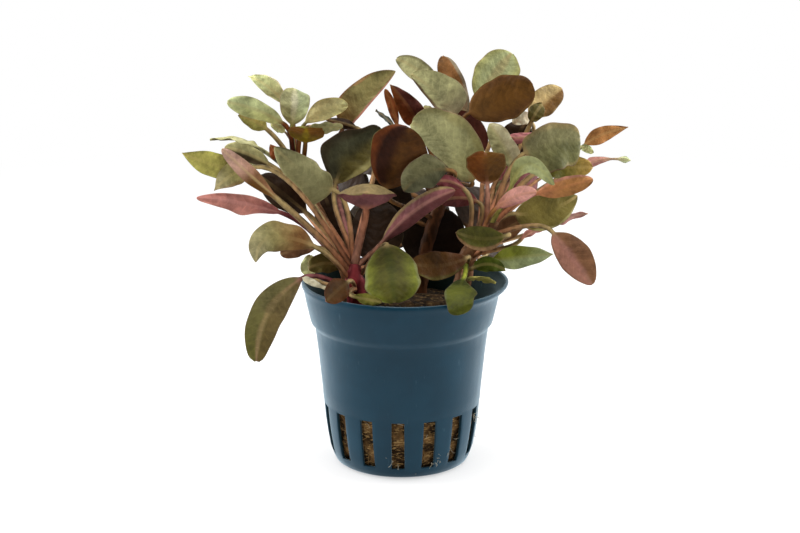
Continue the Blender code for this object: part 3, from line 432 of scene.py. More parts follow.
# Smaller leaves, each part of the piece made for the stem that carries it.
SMALL_LEAF_ROWS = (
    "young_shoot",
    ("flat", 0.95, "oval", 5.2, 55, "sage", "rose", 1,
     (-25.4, 41.9, 5), (-20.8, 42.1, 5), (-16.2, 41.9, 3)),
    ("yellow", 0.76, "broad", 4.4, 180, "sage", "straw", 1,
     (-37.2, 41.5, 3.5), (-40.6, 43.6, 5), (-44.8, 45.2, 5)),
    ("sprout", 0.7, "oval", 2.6, 0, "pale_green", "sage", 1,
     (-32, 40.6, -5), (-33.8, 41.8, -1), (-35.8, 43, -1)),
    ("rusty", 0.75, "broad", 3.6, 180, "khaki", "russet", 1,
     (-32.5, 33.4, 2), (-34.4, 34.8, 3), (-36, 37.2, 3)),
    "crown_left",
    ("edge", 0.78, "pointed", 4.6, 72, "sage", "deep_olive", 1,
     (-38.5, 35.9, 1), (-45, 38.3, -1), (-52.6, 38.6, -4)),
    ("behind", 0.5, "oval", 4.6, 0, "pale_green", "sage", 1,
     (-24.2, 0.8, -4), (-25.4, 3.4, -6), (-24.9, 6.8, -8)),
    ("under", 0.5, "oval", 6, 20, "deep_olive", "dusk", 1,
     (-16.2, 3.4, 2), (-21, 4.6, 3), (-25.6, 3, 4)),
    # The dark leaf: its underside, which faces the front, is painted near black for the shade deep in the
    # plant.
    ("dark", 0.8, "oval", 8.4, 180, "olive", "shade", 1,
     (-26.2, 18.6, 3), (-32.4, 23.6, 3), (-39, 28.6, 2)),
    ("straw", 0.52, "spoon", 1.9, 0, "bleached", "tan", 0.5,
     (-20.6, -2.3, 17), (-23.8, -0.9, 15), (-27.2, 0.7, 12)),
    ("yellow_rim", 0.6, "oval", 3.2, 20, "olive", "straw", 1,
     (-13, -4.4, 20), (-9.4, -5.2, 23), (-5.4, -5.8, 24.5)),
    "crown_right",
    ("edge", 0.5, "oval", 4, 68, "straw", "straw", 1,
     (18.2, 0.2, 11), (22, 0.7, 11), (25.7, -0.8, 10)),
    ("stalk", 0.6, "oval", 3.4, 225, "mauve", "rose", 1,
     (32.4, 11, 0), (36, 13.6, -1), (40, 14.5, -3)),
    ("pink", 0.6, "pointed", 4.6, 62, "pink", "rose", 0.6,
     (38.8, 14.5, -9), (45, 17.2, -10), (50.9, 18.3, -12)),
    ("purple", 0.7, "oval", 5, 180, "plum", "plum", 1,
     (20.8, 21.4, 4), (15.5, 22.6, 6), (10, 21.4, 7)),
    ("tail", 0.68, "pinched", 3, 180, "sage", "pink", 1,
     (50, 31.6, -14), (56, 33.1, -14), (62.7, 32.8, -14)),
    ("low", 0.8, "oval", 4, 0, "grey_green", "mauve", 1,
     (26, 21.6, -4), (27.2, 24.8, -5), (28.2, 27.6, -7)),
    ("pale", 0.84, "oval", 3.8, 0, "bleached", "rose", 0.8,
     (35.6, 43.2, -12), (33.2, 44.4, -8), (30.4, 42.9, -8)),
    ("olive", 0.82, "oval", 4.4, 0, "deep_olive", "mauve", 1,
     (35.4, 43.4, -8), (36.6, 45.7, -7.5), (38.4, 48.2, -10)),
    "crown_back",
    ("narrow", 0.7, "oval", 2.6, 180, "olive", "russet", 1,
     (-1.2, 42, 1), (-2.6, 47.2, 2), (-4.6, 52.4, 4)),
    ("blade", 0.65, "oval", 3.4, 68, "slate", "slate", 1,
     (-1.6, 41.2, -7), (-4.2, 44, -8), (-7.2, 46.5, -9)),
    ("green", 0.7, "oval", 2.8, 0, "sage", "mauve", 1,
     (8.8, 44.2, -6), (7.6, 46, -5), (6, 47.4, -6)),
    ("red", 0.9, "oval", 8.2, 180, "khaki", "maroon", 1,
     (21.6, 34.2, -3), (18.8, 40.6, -3), (13, 45.6, -4)),
    "crown_right",
    ("rose", 0.76, "oval", 3.2, 160, "rose", "mauve", 1,
     (28.6, 39.4, -6.6), (32.2, 38.9, -5.8), (36.4, 40.2, -6.6)),
    # The core, deep, shade, shadow and dusky leaves that follow are dark leaves put deep in the plant to fill
    # gaps: their undersides face the front and are painted near black for the shade there.
    "crown_back",
    ("core", 0.14, "round", 18, 180, "deep_olive", "shade", 0.5,
     (4.4, 4, -6.4), (8.6, 11.5, -6), (12.6, 19.5, -5)),
    "crown_left",
    ("core", 0.9, "round", 14.5, 180, "deep_olive", "shade", 1,
     (-8, 5, 1), (-7, 13.5, -1), (-6, 22, -4)),
    "crown_back",
    ("deep", 0.55, "oval", 10, 180, "deep_olive", "shade", 0.5,
     (2, 17.5, -6.5), (-3, 23.5, -6.5), (-8.6, 28, -5.5)),
    "crown_right",
    ("shade", 0.85, "oval", 9.4, 180, "deep_olive", "shade", 1,
     (28.4, 33.4, -9), (31.2, 38.6, -10), (34, 43.6, -11)),
    ("mauve", 0.63, "oval", 3.4, 180, "khaki", "wine", 1,
     (17, 25, 9), (12.8, 27.1, 11), (8.4, 26.8, 12)),
    "crown_left",
    ("lobe", 0.5, "blunt", 4.4, 0, "dusk", "dusk", 0.8,
     (-23.4, 9, 9.5), (-28.4, 8.6, 12), (-33.2, 7, 12)),
    "crown_right",
    ("lobe", 0.84, "oval", 2.2, 0, "pale_green", "sage", 1,
     (48.8, 36.4, -9.5), (50.6, 36, -8.5), (52.2, 34.8, -9)),
    ("green", 0.5, "broad", 4.2, 0, "leaf_green", "sage", 1,
     (19.6, 3.4, 6.5), (24, 4.4, 6.5), (28.4, 2.6, 5.5)),
    ("dusk", 0.55, "oval", 6, 0, "dusk", "sage", 1,
     (24.6, 10.2, 1), (28.8, 14, 1), (34.2, 17, 0)),
    "crown_left",
    ("shadow", 0.82, "oval", 10.5, 180, "deep_olive", "shade", 1,
     (-14.6, 8, -3.5), (-18.2, 16, -4.5), (-21.4, 24, -6.5)),
    ("dusky", 0.98, "pointed", 2.8, 180, "deep_olive", "shade", 1,
     (-12.2, 41.6, -10), (-16.4, 43, -10), (-21.4, 44.1, -10)),
)

# What follows is set by a leaf's own name, or for a smaller leaf by its stem's name and its own.

# How much wider a blade is on its right half than on its left, looking to its tip from its upper side.
LEANS = {
    "back_tall": -0.5,
    "left_inner": -0.12,
    "right_large": 0.2,
    "middle_pale": 0.3,
    "top_wide": 0.36,
    "shoot_long": 0.2,
    "right_hanging": 0.15,
}

# Where a margin stands out as a lobe or draws in: the share along the blade, the side (1 is right, looking to
# the tip from the upper side) and how far, as a share of the half width.
LOBES = {
    "left_grey": ((0.2, -1, 0.5), (0.52, -1, -0.15), (0.35, 1, -0.25)),
    "left_purple": ((0.5, 1, 0.4),),
    "left_olive": ((0.7, 1, 0.25),),
    "left_curled": ((0.1, 1, 0.5), (0.4, 1, 0.15)),
    "left_inner": ((0.3, -1, 0.35), (0.78, -1, -0.25)),
    "right_large": ((0.2, 1, 0.25), (0.85, 1, 0.2)),
    "right_grey": ((0.2, 1, 0.35), (0.55, 1, -0.15)),
    "rim_lime": ((0.4, -1, 0.3), (0.75, 1, -0.15)),
    "middle_grey": ((0.3, 1, 0.25), (0.7, -1, -0.2)),
}

# How a leaf departs from the usual: twist in degrees along the blade, cup (how far its sides rise), fold (how
# sharply they meet at the midrib), wave of its margin in millimetres.
Form = namedtuple("Form", "twist cup fold wave")
USUAL_FORM = Form(0, 0.16, 1.6, 0.5)
FORMS = {
    "arching": Form(0, -0.35, 2, 0.4),
    "left_purple": Form(40, 0.25, 1.3, 0.4),
    "left_pink_tip": Form(-25, 0.3, 1.3, 0.4),
    "middle_pink": Form(20, 0.35, 1.2, 0.4),
    "right_pink": Form(20, 0.35, 1.2, 0.4),
    "right_orange": Form(0, 0.3, 1.2, 0.4),
    "right_folded": Form(0, 0.5, 1.1, 0.3),
    "right_bowl": Form(0, 0.4, 1.6, 0.3),
    "left_curled": Form(0, -0.3, 1.8, 0.6),
    "left_grey": Form(0, -0.2, 1.6, 0.7),
    "middle_grey": Form(0, 0.1, 1.6, 0.7),
    "middle_pale": Form(0, 0.22, 1.8, 0.5),
    "front_round": Form(0, -0.12, 2, 0.4),
}

# Parts of a blade that a second colour can cover: what is read there, where the colour begins and where it is
# full. Left, right, above and below are as seen from the front.
ZONES = {
    "tip": ("share", 0.35, 0.95),
    "foot": ("share", 0.55, 0.05),
    "left": ("rightward", 0.25, -0.4),
    "right": ("rightward", -0.25, 0.4),
    "above": ("upward", -0.25, 0.4),
    "below": ("upward", 0.25, -0.4),
    "left_edge": ("rightward", -0.6, -0.85),
    "right_edge": ("rightward", 0.6, 0.85),
    "above_edge": ("upward", 0.55, 0.85),
    "below_edge": ("upward", -0.6, -0.85),
    "margin": ("edge", 0.35, 1.0),
    "rim": ("edge", 0.86, 0.95),
    "middle": ("edge", 0.30, 0.04),
}

# The second colours on the side that faces the front: zone, colour and how far it covers.
# Some of them are painted shade, as noted above them.
TINTS = {
    "shoot_long": (("foot", "grey_green", 0.4), ("rim", "bleached", 0.4)),
    "shoot_top": (("right", "mint", 0.7), ("middle", "bleached", 0.6), ("foot", "straw", 0.4)),
    "shoot_right": (("below", "khaki", 0.5), ("rim", "straw", 0.5)),
    "shoot_front": (("middle", "amber", 0.7), ("foot", "amber", 0.6)),
    "shoot_left": (("below", "straw", 0.5), ("tip", "mint", 0.4), ("foot", "khaki", 0.5)),
    # left_olive: its lower part is painted near black, a painted shadow under its fold.
    "left_olive": (("below", "shade", 0.95), ("rim", "sage", 0.4)),
    "left_far": (("foot", "deep_olive", 0.75), ("rim", "lime", 0.4)),
    # left_dipping: its lower edge is painted darker, painted shade at its lower tip.
    "left_dipping": (("tip", "ash", 0.4), ("below_edge", "dusk", 0.5)),
    "left_pink_tip": (("below", "umber", 0.95), ("middle", "tan", 0.7), ("tip", "pink", 0.95),
                      ("tip", "bleached", 0.25)),
    "left_purple": (("foot", "wine", 0.7), ("above", "plum", 0.35), ("middle", "pink", 0.6)),
    "left_curled": (("foot", "russet", 0.75), ("tip", "ash", 0.35)),
    # left_drooping: its right half is painted darker, painted shade beside the midrib.
    "left_drooping": (("tip", "olive", 0.75), ("right", "dusk", 0.45), ("middle", "tan", 0.8)),
    "rim_brown": (("margin", "russet", 0.4),),
    "front_round": (("margin", "lime", 1), ("rim", "pale_green", 0.5), ("foot", "deep_olive", 0.5),
                    ("middle", "leaf_green", 0.5)),
    "middle_pink": (("below", "plum", 0.7), ("above_edge", "tan", 0.9), ("middle", "pink", 0.5)),
    "left_grey": (("foot", "deep_olive", 0.35), ("rim", "sage", 0.5)),
    # left_inner: its left half and upper edge are painted dark, painted shade at its top-left.
    "left_inner": (("left", "slate", 0.7), ("above_edge", "shade", 0.6), ("right_edge", "khaki", 0.9)),
    "back_tall": (("foot", "umber", 0.7), ("below_edge", "rose", 0.9), ("rim", "salmon", 0.4)),
    "right_dark": (("foot", "russet", 0.5), ("below_edge", "olive", 0.6)),
    "rim_lime": (("foot", "leaf_green", 0.9), ("rim", "mint", 0.4)),
    "right_bright": (("below", "mint", 0.75), ("tip", "mint", 0.7)),
    "right_hanging": (("left", "flesh", 0.7), ("right", "hazel", 0.75), ("middle", "pink", 0.4),
                      ("rim", "hazel", 0.5)),
    "right_olive": (("above", "deep_olive", 0.5), ("rim", "grey_green", 0.4)),
    "right_orange": (("above_edge", "pink", 0.6), ("foot", "salmon", 0.5)),
    "right_pink": (("foot", "salmon", 0.6), ("below_edge", "mauve", 0.6)),
    "right_folded": (("foot", "straw", 0.7),),
    "right_large": (("above_edge", "tan", 0.5), ("below", "leaf_green", 0.35), ("rim", "tan", 0.4)),
    "right_lower": (("tip", "ochre", 0.9),),
    "right_far": (("below", "orange", 0.9), ("rim", "orange", 0.5)),
    "right_grey": (("right", "ash", 0.6),),
    "right_brown": (("left", "russet", 0.6), ("rim", "tan", 0.4)),
    "right_bowl": (("below_edge", "salmon", 0.7), ("left_edge", "tan", 0.4)),
    "top_brown": (("margin", "bark", 0.55), ("foot", "hazel", 0.4), ("rim", "hazel", 0.5)),
    "top_pale": (("margin", "straw", 0.6), ("middle", "tan", 0.5)),
    "top_orange": (("right_edge", "ash", 0.8), ("left", "orange", 0.7), ("foot", "ash", 0.6)),
    "top_green": (("right_edge", "deep_olive", 0.5),),
    "top_wide": (("left_edge", "maroon", 0.85), ("foot", "ash", 0.5)),
    "top_red": (("left", "russet", 0.7),),
    # middle_brown: its left half is painted dark maroon and near black, a painted shadow on its fold.
    "middle_brown": (("left", "maroon", 0.95), ("left", "shade", 0.45), ("left_edge", "russet", 0.85),
                     ("below", "maroon", 0.4)),
    "middle_pale": (("right_edge", "khaki", 0.7), ("foot", "khaki", 0.5)),
    "middle_grey": (("below", "slate", 0.5),),
    "top_right": (("below", "umber", 0.9), ("foot", "deep_olive", 0.6), ("rim", "khaki", 0.5)),
    "crown_right_tail": (("tip", "mint", 0.95),),
}

# Stalks that aren't coloured as the others of their stem are: colour by the stem and colour by the blade.
STALKS = {
    "shoot_left": ("maroon", "russet"),
    "shoot_front": ("russet", "umber"),
    "shoot_top": ("amber", "straw"),
    "shoot_right": ("russet", "khaki"),
    "young_shoot_yellow": ("tan", "tan"),
    "crown_left_edge": ("tan", "sage"),
    "back_tall": ("mauve", "dusk"),
    "left_purple": ("salmon", "wine"),
    "left_drooping": ("crimson", "mauve"),
    "arching": ("flesh", "salmon"),
    "middle_pink": ("flesh", "flesh"),
    "right_brown": ("salmon", "flesh"),
    "right_pink": ("salmon", "orange"),
    "right_orange": ("salmon", "salmon"),
    "rim_lime": ("leaf_green", "lime"),
    "right_folded": ("straw", "straw"),
}

# Stalks that are thicker or thinner than the usual one.
STALK_WIDTHS = {
    "arching": 1.5,
    "left_pink_tip": 1.25,
    "left_purple": 1.1,
    "left_olive": 1.2,
    "shoot_long": 0.8,
    "shoot_right": 0.8,
    "rear_side": 0.9,
    "young_shoot_sprout": 0.5,
    "right_far": 0.7,
    "crown_right_tail": 0.6,
}


def leaves_from(rows, small):
    """Leaves from rows that stand under the names of their stems."""
    leaves = []
    for row in rows:
        if isinstance(row, str):
            stem = row
        else:
            key = f"{stem}_{row[0]}" if small else row[0]
            leaves.append(Leaf(stem, key, *row[1:]))
    return leaves


def unit(vector):
    return vector / np.linalg.norm(vector)


def on_circle(turn, radius, height):
    """The point at a turn about the pot's axis, in radians."""
    return np.array((radius * math.cos(turn), radius * math.sin(turn), height))


def place(point):
    """The point seen this far across and up from the middle of the mouth, moved nearer to the eye."""
    across, up, nearer = point
    flat = MOUTH + ACROSS * across + UP * up
    return flat + unit(EYE - flat) * nearer


def stem_point(stem, level):
    """The point on a stem's centre line at a share of its length."""
    path = [np.array(point) for point in stem.path]
    lengths = [np.linalg.norm(b - a) for a, b in zip(path, path[1:])]
    left = level * sum(lengths)
    for i, length in enumerate(lengths):
        if left <= length:
            return path[i] + (path[i + 1] - path[i]) * left / length
        left -= length
    return path[-1]


def midrib(leaf):
    """The curve through a blade's base, middle and tip: its two ends and the control point between them."""
    base, middle, tip = (place(point) for point in (leaf.base, leaf.middle, leaf.tip))
    return base, middle * 2.0 - (base + tip) * 0.5, tip


def blade_point(leaf, share):
    """A point on the midrib."""
    base, control, tip = midrib(leaf)
    rest = 1.0 - share
    return base * rest**2 + control * 2 * rest * share + tip * share**2


def stalk_point(leaf, share):
    """A point on the leaf stalk's centre line, from inside its stem to the foot of its blade."""
    start = stem_point(STEMS[leaf.stem], leaf.level)
    base, control, _ = midrib(leaf)
    reach = np.linalg.norm(base - start)
    leaving = unit(base - start) + np.array((0.0, 0.0, STALK_LIFT))
    first = start + unit(leaving) * reach * STALK_LEAVING
    second = base - unit(control - base) * reach * STALK_ARRIVING
    rest = 1.0 - share
    return start * rest**3 + first * 3 * rest**2 * share + second * 3 * rest * share**2 + base * share**3


def leaf_point(leaf, share):
    """A point on the leaf's centre line: -1 is in the stem, 0 at the foot of the blade and 1 at its tip."""
    return stalk_point(leaf, 1.0 + share) if share < 0.0 else blade_point(leaf, share)


def half_width(leaf, share):
    """Half the blade's width at a share of its length."""
    if leaf.outline == "pinched":
        return leaf.width * 0.5 * float(np.interp(share, *zip(*PINCHED)))
    widest, base_blunt, tip_blunt = OUTLINES[leaf.outline]
    if share <= widest:
        off, blunt = (widest - share) / widest, base_blunt
    else:
        off, blunt = (share - widest) / (1.0 - widest), tip_blunt
    return leaf.width * 0.5 * max(1.0 - off**2, 0.0) ** blunt


def smooth(value, low, high):
    """0 at low, 1 at high, with a gentle start and end."""
    share = min(max((value - low) / (high - low), 0.0), 1.0)
    return share * share * (3.0 - 2.0 * share)


def turned_about(vector, axis, angle):
    return (
        vector * math.cos(angle)
        + np.cross(axis, vector) * math.sin(angle)
        + axis * np.dot(axis, vector) * (1.0 - math.cos(angle))
    )


def directions(points):
    """The direction of a line at each of its points."""
    last = len(points) - 1
    return [unit(points[min(i + 1, last)] - points[max(i - 1, 0)]) for i in range(len(points))]


def uppers_along(points, tangents, leaf, set_at):
    """The upper side's direction at every station: the roll sets one, and it is carried on without twist."""
    tangent = tangents[set_at]
    to_eye = unit(EYE - points[set_at])
    facing = unit(to_eye - tangent * np.dot(to_eye, tangent))
    upper = turned_about(facing, tangent, math.radians(leaf.roll))
    uppers = [None] * len(points)
    uppers[set_at] = upper
    for order in (range(set_at + 1, len(points)), range(set_at - 1, -1, -1)):
        carried = upper
        for i in order:
            carried = unit(carried - tangents[i] * np.dot(carried, tangents[i]))
            uppers[i] = carried
    return uppers


def ripple(x, y, z):
    """Smooth noise from -1 to 1."""
    return noise.noise(Vector((x, y, z)))


def blade_relief(form, share, across, half, seed):
    """How far the blade's surface stands off its flat section: its cup, its margin's wave and its puckers."""
    cupped = abs(across) ** form.fold * half * form.cup
    along_wave, across_wave = WAVE_SIZE
    wave = ripple(share * along_wave + seed, across * across_wave, seed * 1.7)
    along_pucker, across_pucker = PUCKER_SIZE
    pucker = ripple(share * along_pucker, across * across_pucker + seed, seed)
    return cupped + 2.0 * form.wave * wave * abs(across) ** 1.5 + PUCKER * pucker


def lobed(leaf, share, across):
    """How many times wider the blade is there than its even outline."""
    wider = 1.0
    for at, side, reach in LOBES.get(leaf.key, ()):
        if side * across > 0.0:
            wider += reach * math.exp(-(((share - at) / LOBE_LENGTH) ** 2))
    return wider


def thickness(share, across, above, off, stalk_radius, blade):
    """How far the skin stands off the middle layer: round on the stalk, thin and ribbed on the blade."""
    under = above < 0.0
    round_thick = above * stalk_radius * (1.0 if under else STALK_TOP)
    flat_thick = above * (EDGE_THICKNESS + (BLADE_THICKNESS - EDGE_THICKNESS) * (1.0 - across**2)) * 0.5
    rib = max(0.0, 1.0 - off / RIB_HALF) * stalk_radius * FOOT_WIDTH * (1.0 - RIB_TAPER * max(share, 0.0))
    flat_thick -= rib * (RIB_BELOW if under else RIB_ABOVE)
    return round_thick * (1.0 - blade) + flat_thick * blade


def skin_faces(rings, count):
    """The faces of a closed skin of rings of so many points each, capped at both ends."""
    faces = []
    for r in range(rings - 1):
        for k in range(count):
            j = (k + 1) % count
            faces.append((r * count + k, r * count + j, (r + 1) * count + j, (r + 1) * count + k))
    faces.append(tuple(reversed(range(count))))
    faces.append(tuple(range((rings - 1) * count, rings * count)))
    return faces


def leaf_shape(leaf, rings, seed):
    """The stalk and blade as one closed skin: points, faces and what the material reads at each point."""
    blade_rings, stalk_rings = rings
    form = FORMS.get(leaf.key, USUAL_FORM)
    stalk_radius = STALK_RADIUS * STALK_WIDTHS.get(leaf.key, 1.0)
    lean = LEANS.get(leaf.key, 0.0)
    shares = [-1.0 + i / stalk_rings for i in range(stalk_rings)]
    shares += [i / blade_rings * BLADE_END for i in range(blade_rings + 1)]
    centres = [leaf_point(leaf, share) for share in shares]
    tangents = directions(centres)
    middle = stalk_rings + blade_rings // 2
    uppers = uppers_along(centres, tangents, leaf, middle)
    middle_side = np.cross(tangents[middle], uppers[middle])
    rightward = math.copysign(1.0, np.dot(middle_side, ACROSS))
    upward = math.copysign(1.0, np.dot(middle_side, UP))
    length = np.linalg.norm(blade_point(leaf, 1.0) - blade_point(leaf, 0.0))
    veins = max(length / VEIN_SPACING, FEWEST_VEINS)
    points, reads = [], []
    for share, centre, tangent, upper in zip(shares, centres, tangents, uppers):
        blade = smooth(share, *BLADE_STARTS)
        if share < 0.0:
            half = stalk_radius * (1.0 + STALK_SWELL * share**2)
        else:
            half = max(half_width(leaf, share), stalk_radius * FOOT_WIDTH * (1.0 - share), LEAST_HALF_WIDTH)
        half *= 1.0 + MARGIN_NOISE * blade * ripple(share * MARGIN_SIZE, seed * 3.1, 0.5)
        upper = turned_about(upper, tangent, math.radians(form.twist) * (max(share, 0.0) - 0.5) * blade)
        side = np.cross(tangent, upper)
        for k in range(RING_POINTS):
            turn = 2.0 * math.pi * k / RING_POINTS
            across = -math.cos(turn)
            above = math.sin(turn)
            off = abs(across) * half
            phase = veins * share - VEIN_SLOPE * off / VEIN_SPACING
            lift = blade_relief(form, share, across, half, seed) * blade
            lift += VEIN_RELIEF * abs(math.sin(math.pi * phase)) * (1.0 - across**2) * blade
            thick = thickness(share, across, above, off, stalk_radius, blade)
            aside = (across + lean * blade * abs(across)) * half * lobed(leaf, share, across)
            points.append(centre + side * aside + upper * (lift + thick))
            on_top = 1.0 if above >= -1e-6 else 0.0
            reads.append((share, off, across * rightward, across * upward, phase, on_top))
    return points, skin_faces(len(shares), RING_POINTS), reads


READ_NAMES = ("share", "off_midrib", "rightward", "upward", "vein_phase", "upper_side")
NO_READS = (0.0,) * len(READ_NAMES)

# The upper side's mark also tells the pot's inner skin from its outer one, and the wool's top from its sides;
# the inner skin and the wool's top are painted darker with it, as painted shade.
INSIDE_READS = (0.0, 0.0, 0.0, 0.0, 0.0, 1.0)


def add_object(name, data):
    made = bpy.data.objects.new(name, data)
    bpy.context.scene.collection.objects.link(made)
    return made


def mesh_object(name, groups):
    """One object from (points, faces, reads, material) groups, its faces turned outwards."""
    points, faces, reads, slots = [], [], [], []
    mesh = bpy.data.meshes.new(name)
    for index, (own_points, own_faces, own_reads, look) in enumerate(groups):
        first = len(points)
        points += [tuple(np.array(point) * MM) for point in own_points]
        faces += [tuple(i + first for i in face) for face in own_faces]
        reads += own_reads
        slots += [index] * len(own_faces)
        mesh.materials.append(look)
    mesh.from_pydata(points, [], faces)
    mesh.polygons.foreach_set("material_index", slots)
    for column, read_name in enumerate(READ_NAMES):
        layer = mesh.attributes.new(read_name, "FLOAT", "POINT")
        layer.data.foreach_set("value", [row[column] for row in reads])
    shape = bmesh.new()
    shape.from_mesh(mesh)
    bmesh.ops.recalc_face_normals(shape, faces=shape.faces)
    shape.to_mesh(mesh)
    shape.free()
    mesh.shade_smooth()
    return add_object(name, mesh)


# A tube's section begins square to this, so no stem or fibre may run along it.
ASKEW = np.array((0.31, 0.95, 0.05))


def tube(path, radii, sides, rough=0.0, seed=0.0):
    """Points and faces of a closed round tube along a path."""
    points = []
    aheads = directions(path)
    normal = unit(np.cross(aheads[0], ASKEW))
    for point, ahead, radius in zip(path, aheads, radii):
        normal = unit(normal - ahead * np.dot(normal, ahead))
        side = np.cross(ahead, normal)
        for k in range(sides):
            angle = 2 * math.pi * k / sides
            out = normal * math.cos(angle) + side * math.sin(angle)
            grow = 1.0 + rough * ripple(*(point * 0.9 + out * 1.3 + seed))
            points.append(point + out * radius * grow)
    return points, skin_faces(len(path), sides)


def linear(colour, gain=1.0):
    """A colour given from 0 to 255 as the shares of light that it stands for, made lighter or darker."""
    shares = []
    for level in colour:
        share = level / 255.0
        share = share / 12.92 if share <= 0.04045 else ((share + 0.055) / 1.055) ** 2.4
        shares.append(min(share * gain, 1.0))
    return (*shares, 1.0)


def fill(tree, node, inputs):
    """Sets a node's inputs to numbers or colours, or links them to other nodes' outputs."""
    for name, value in inputs.items():
        if isinstance(value, bpy.types.NodeSocket):
            tree.links.new(value, node.inputs[name])
        else:
            node.inputs[name].default_value = value


def add_node(tree, kind, inputs, output=0, **settings):
    """Adds a node and returns one of its outputs."""
    node = tree.nodes.new("ShaderNode" + kind)
    for setting, value in settings.items():
        setattr(node, setting, value)
    fill(tree, node, inputs)
    return node.outputs[output]


class Look:
    """A material under construction: most methods add one node and return its output."""

    def __init__(self, name, roughness, specular):
        self.material = bpy.data.materials.new(name)
        self.material.use_nodes = True
        self.tree = self.material.node_tree
        self.shader = self.tree.nodes["Principled BSDF"]
        self.wear({"Roughness": roughness, "Specular IOR Level": specular})

    def wear(self, inputs):
        """Numbers, colours or patterns for the shader's own sockets."""
        fill(self.tree, self.shader, inputs)

    def add(self, *kind_and_inputs, **settings):
        return add_node(self.tree, *kind_and_inputs, **settings)

    def read(self, name):
        return self.add("Attribute", {}, "Fac", attribute_name=name)

    def math(self, operation, first, second=0.0):
        return self.add("Math", {0: first, 1: second}, operation=operation)

    def plus(self, first, second):
        return self.math("ADD", first, second)

    def times(self, first, *others):
        for other in others:
            first = self.math("MULTIPLY", first, other)
        return first

    def between(self, value, low, high):
        """0 at low and 1 at high, smoothly; low may be the greater."""
        inputs = {"Value": value, "From Min": low, "From Max": high}
        return self.add("MapRange", inputs, interpolation_type="SMOOTHSTEP")

    def position(self, stretch=(1.0, 1.0, 1.0), offset=0.0):
        """The place on the object in millimetres, stretched and shifted."""
        inputs = {
            "Vector": self.add("TexCoord", {}, "Object"),
            "Scale": [share / MM for share in stretch],
            "Location": (offset, offset * 0.7, -offset),
        }
        return self.add("Mapping", inputs)

    def from_middle(self):
        """The distance from the object's own origin in millimetres."""
        return self.add("VectorMath", {0: self.position()}, "Value", operation="LENGTH")

    def spots(self, size_mm, detail=3.0, stretch=(1.0, 1.0, 1.0), offset=0.0):
        """Soft blotches about so many millimetres across, from 0 to 1."""
        inputs = {"Vector": self.position(stretch, offset), "Scale": 1.0 / size_mm, "Detail": detail}
        return self.add("TexNoise", inputs, "Fac")

    def net(self, size_mm, line, offset):
        """1 on the lines of an irregular net with cells of about that size, 0 between them."""
        inputs = {"Vector": self.position(offset=offset), "Scale": 1.0 / size_mm}
        return self.between(self.add("TexVoronoi", inputs, "Distance", feature="DISTANCE_TO_EDGE"), line, 0.0)

    def mix(self, share, first, second):
        return self.add("Mix", {"Factor": share, 6: first, 7: second}, 2, data_type="RGBA")

    def scaled(self, colour, factor):
        """A colour made lighter or darker."""
        return self.add("VectorMath", {0: colour, "Scale": factor}, operation="SCALE")

    def sum(self, start, *terms):
        """A number and (factor, value) pairs, added up."""
        total = self.times(terms[0][1], terms[0][0])
        for factor, value in terms[1:]:
            total = self.plus(self.times(value, factor), total)
        return self.plus(total, start)

    def bump(self, height, distance_mm, strength):
        inputs = {"Strength": strength, "Distance": distance_mm * MM, "Height": height}
        self.wear({"Normal": self.add("Bump", inputs)})


def tinted(look, key, body, reads, blotch, facing):
    """The body colour with the leaf's second colours over it, on the side that faces the front."""
    wander = look.times(look.math("SUBTRACT", blotch, 0.5), TINT_WANDER)
    for zone, colour, cover in TINTS.get(key, ()):
        source, begins, full = ZONES[zone]
        covered = look.between(look.plus(reads[source], wander), begins, full)
        body = look.mix(look.times(covered, cover, facing), body, linear(COLOURS[colour]))
    return body


def stalk_colour(look, reads, near, far, seed):
    """From the colour by the stem to the one by the blade, streaked, and lighter on the stalk's ridge."""
    streak = look.spots(STREAK_SIZE, stretch=(1.0, 1.0, 0.5), offset=seed)
    along = look.between(look.plus(reads["share"], look.times(streak, 0.3)), -0.85, 0.1)
    body = look.mix(along, linear(near, STALK_GAIN), linear(far, STALK_GAIN))
    ridge = look.between(reads["edge"], 0.95, 0.2)
    return look.scaled(body, look.sum(0.7, (0.65, ridge), (-0.45, look.between(streak, 0.35, 0.65))))


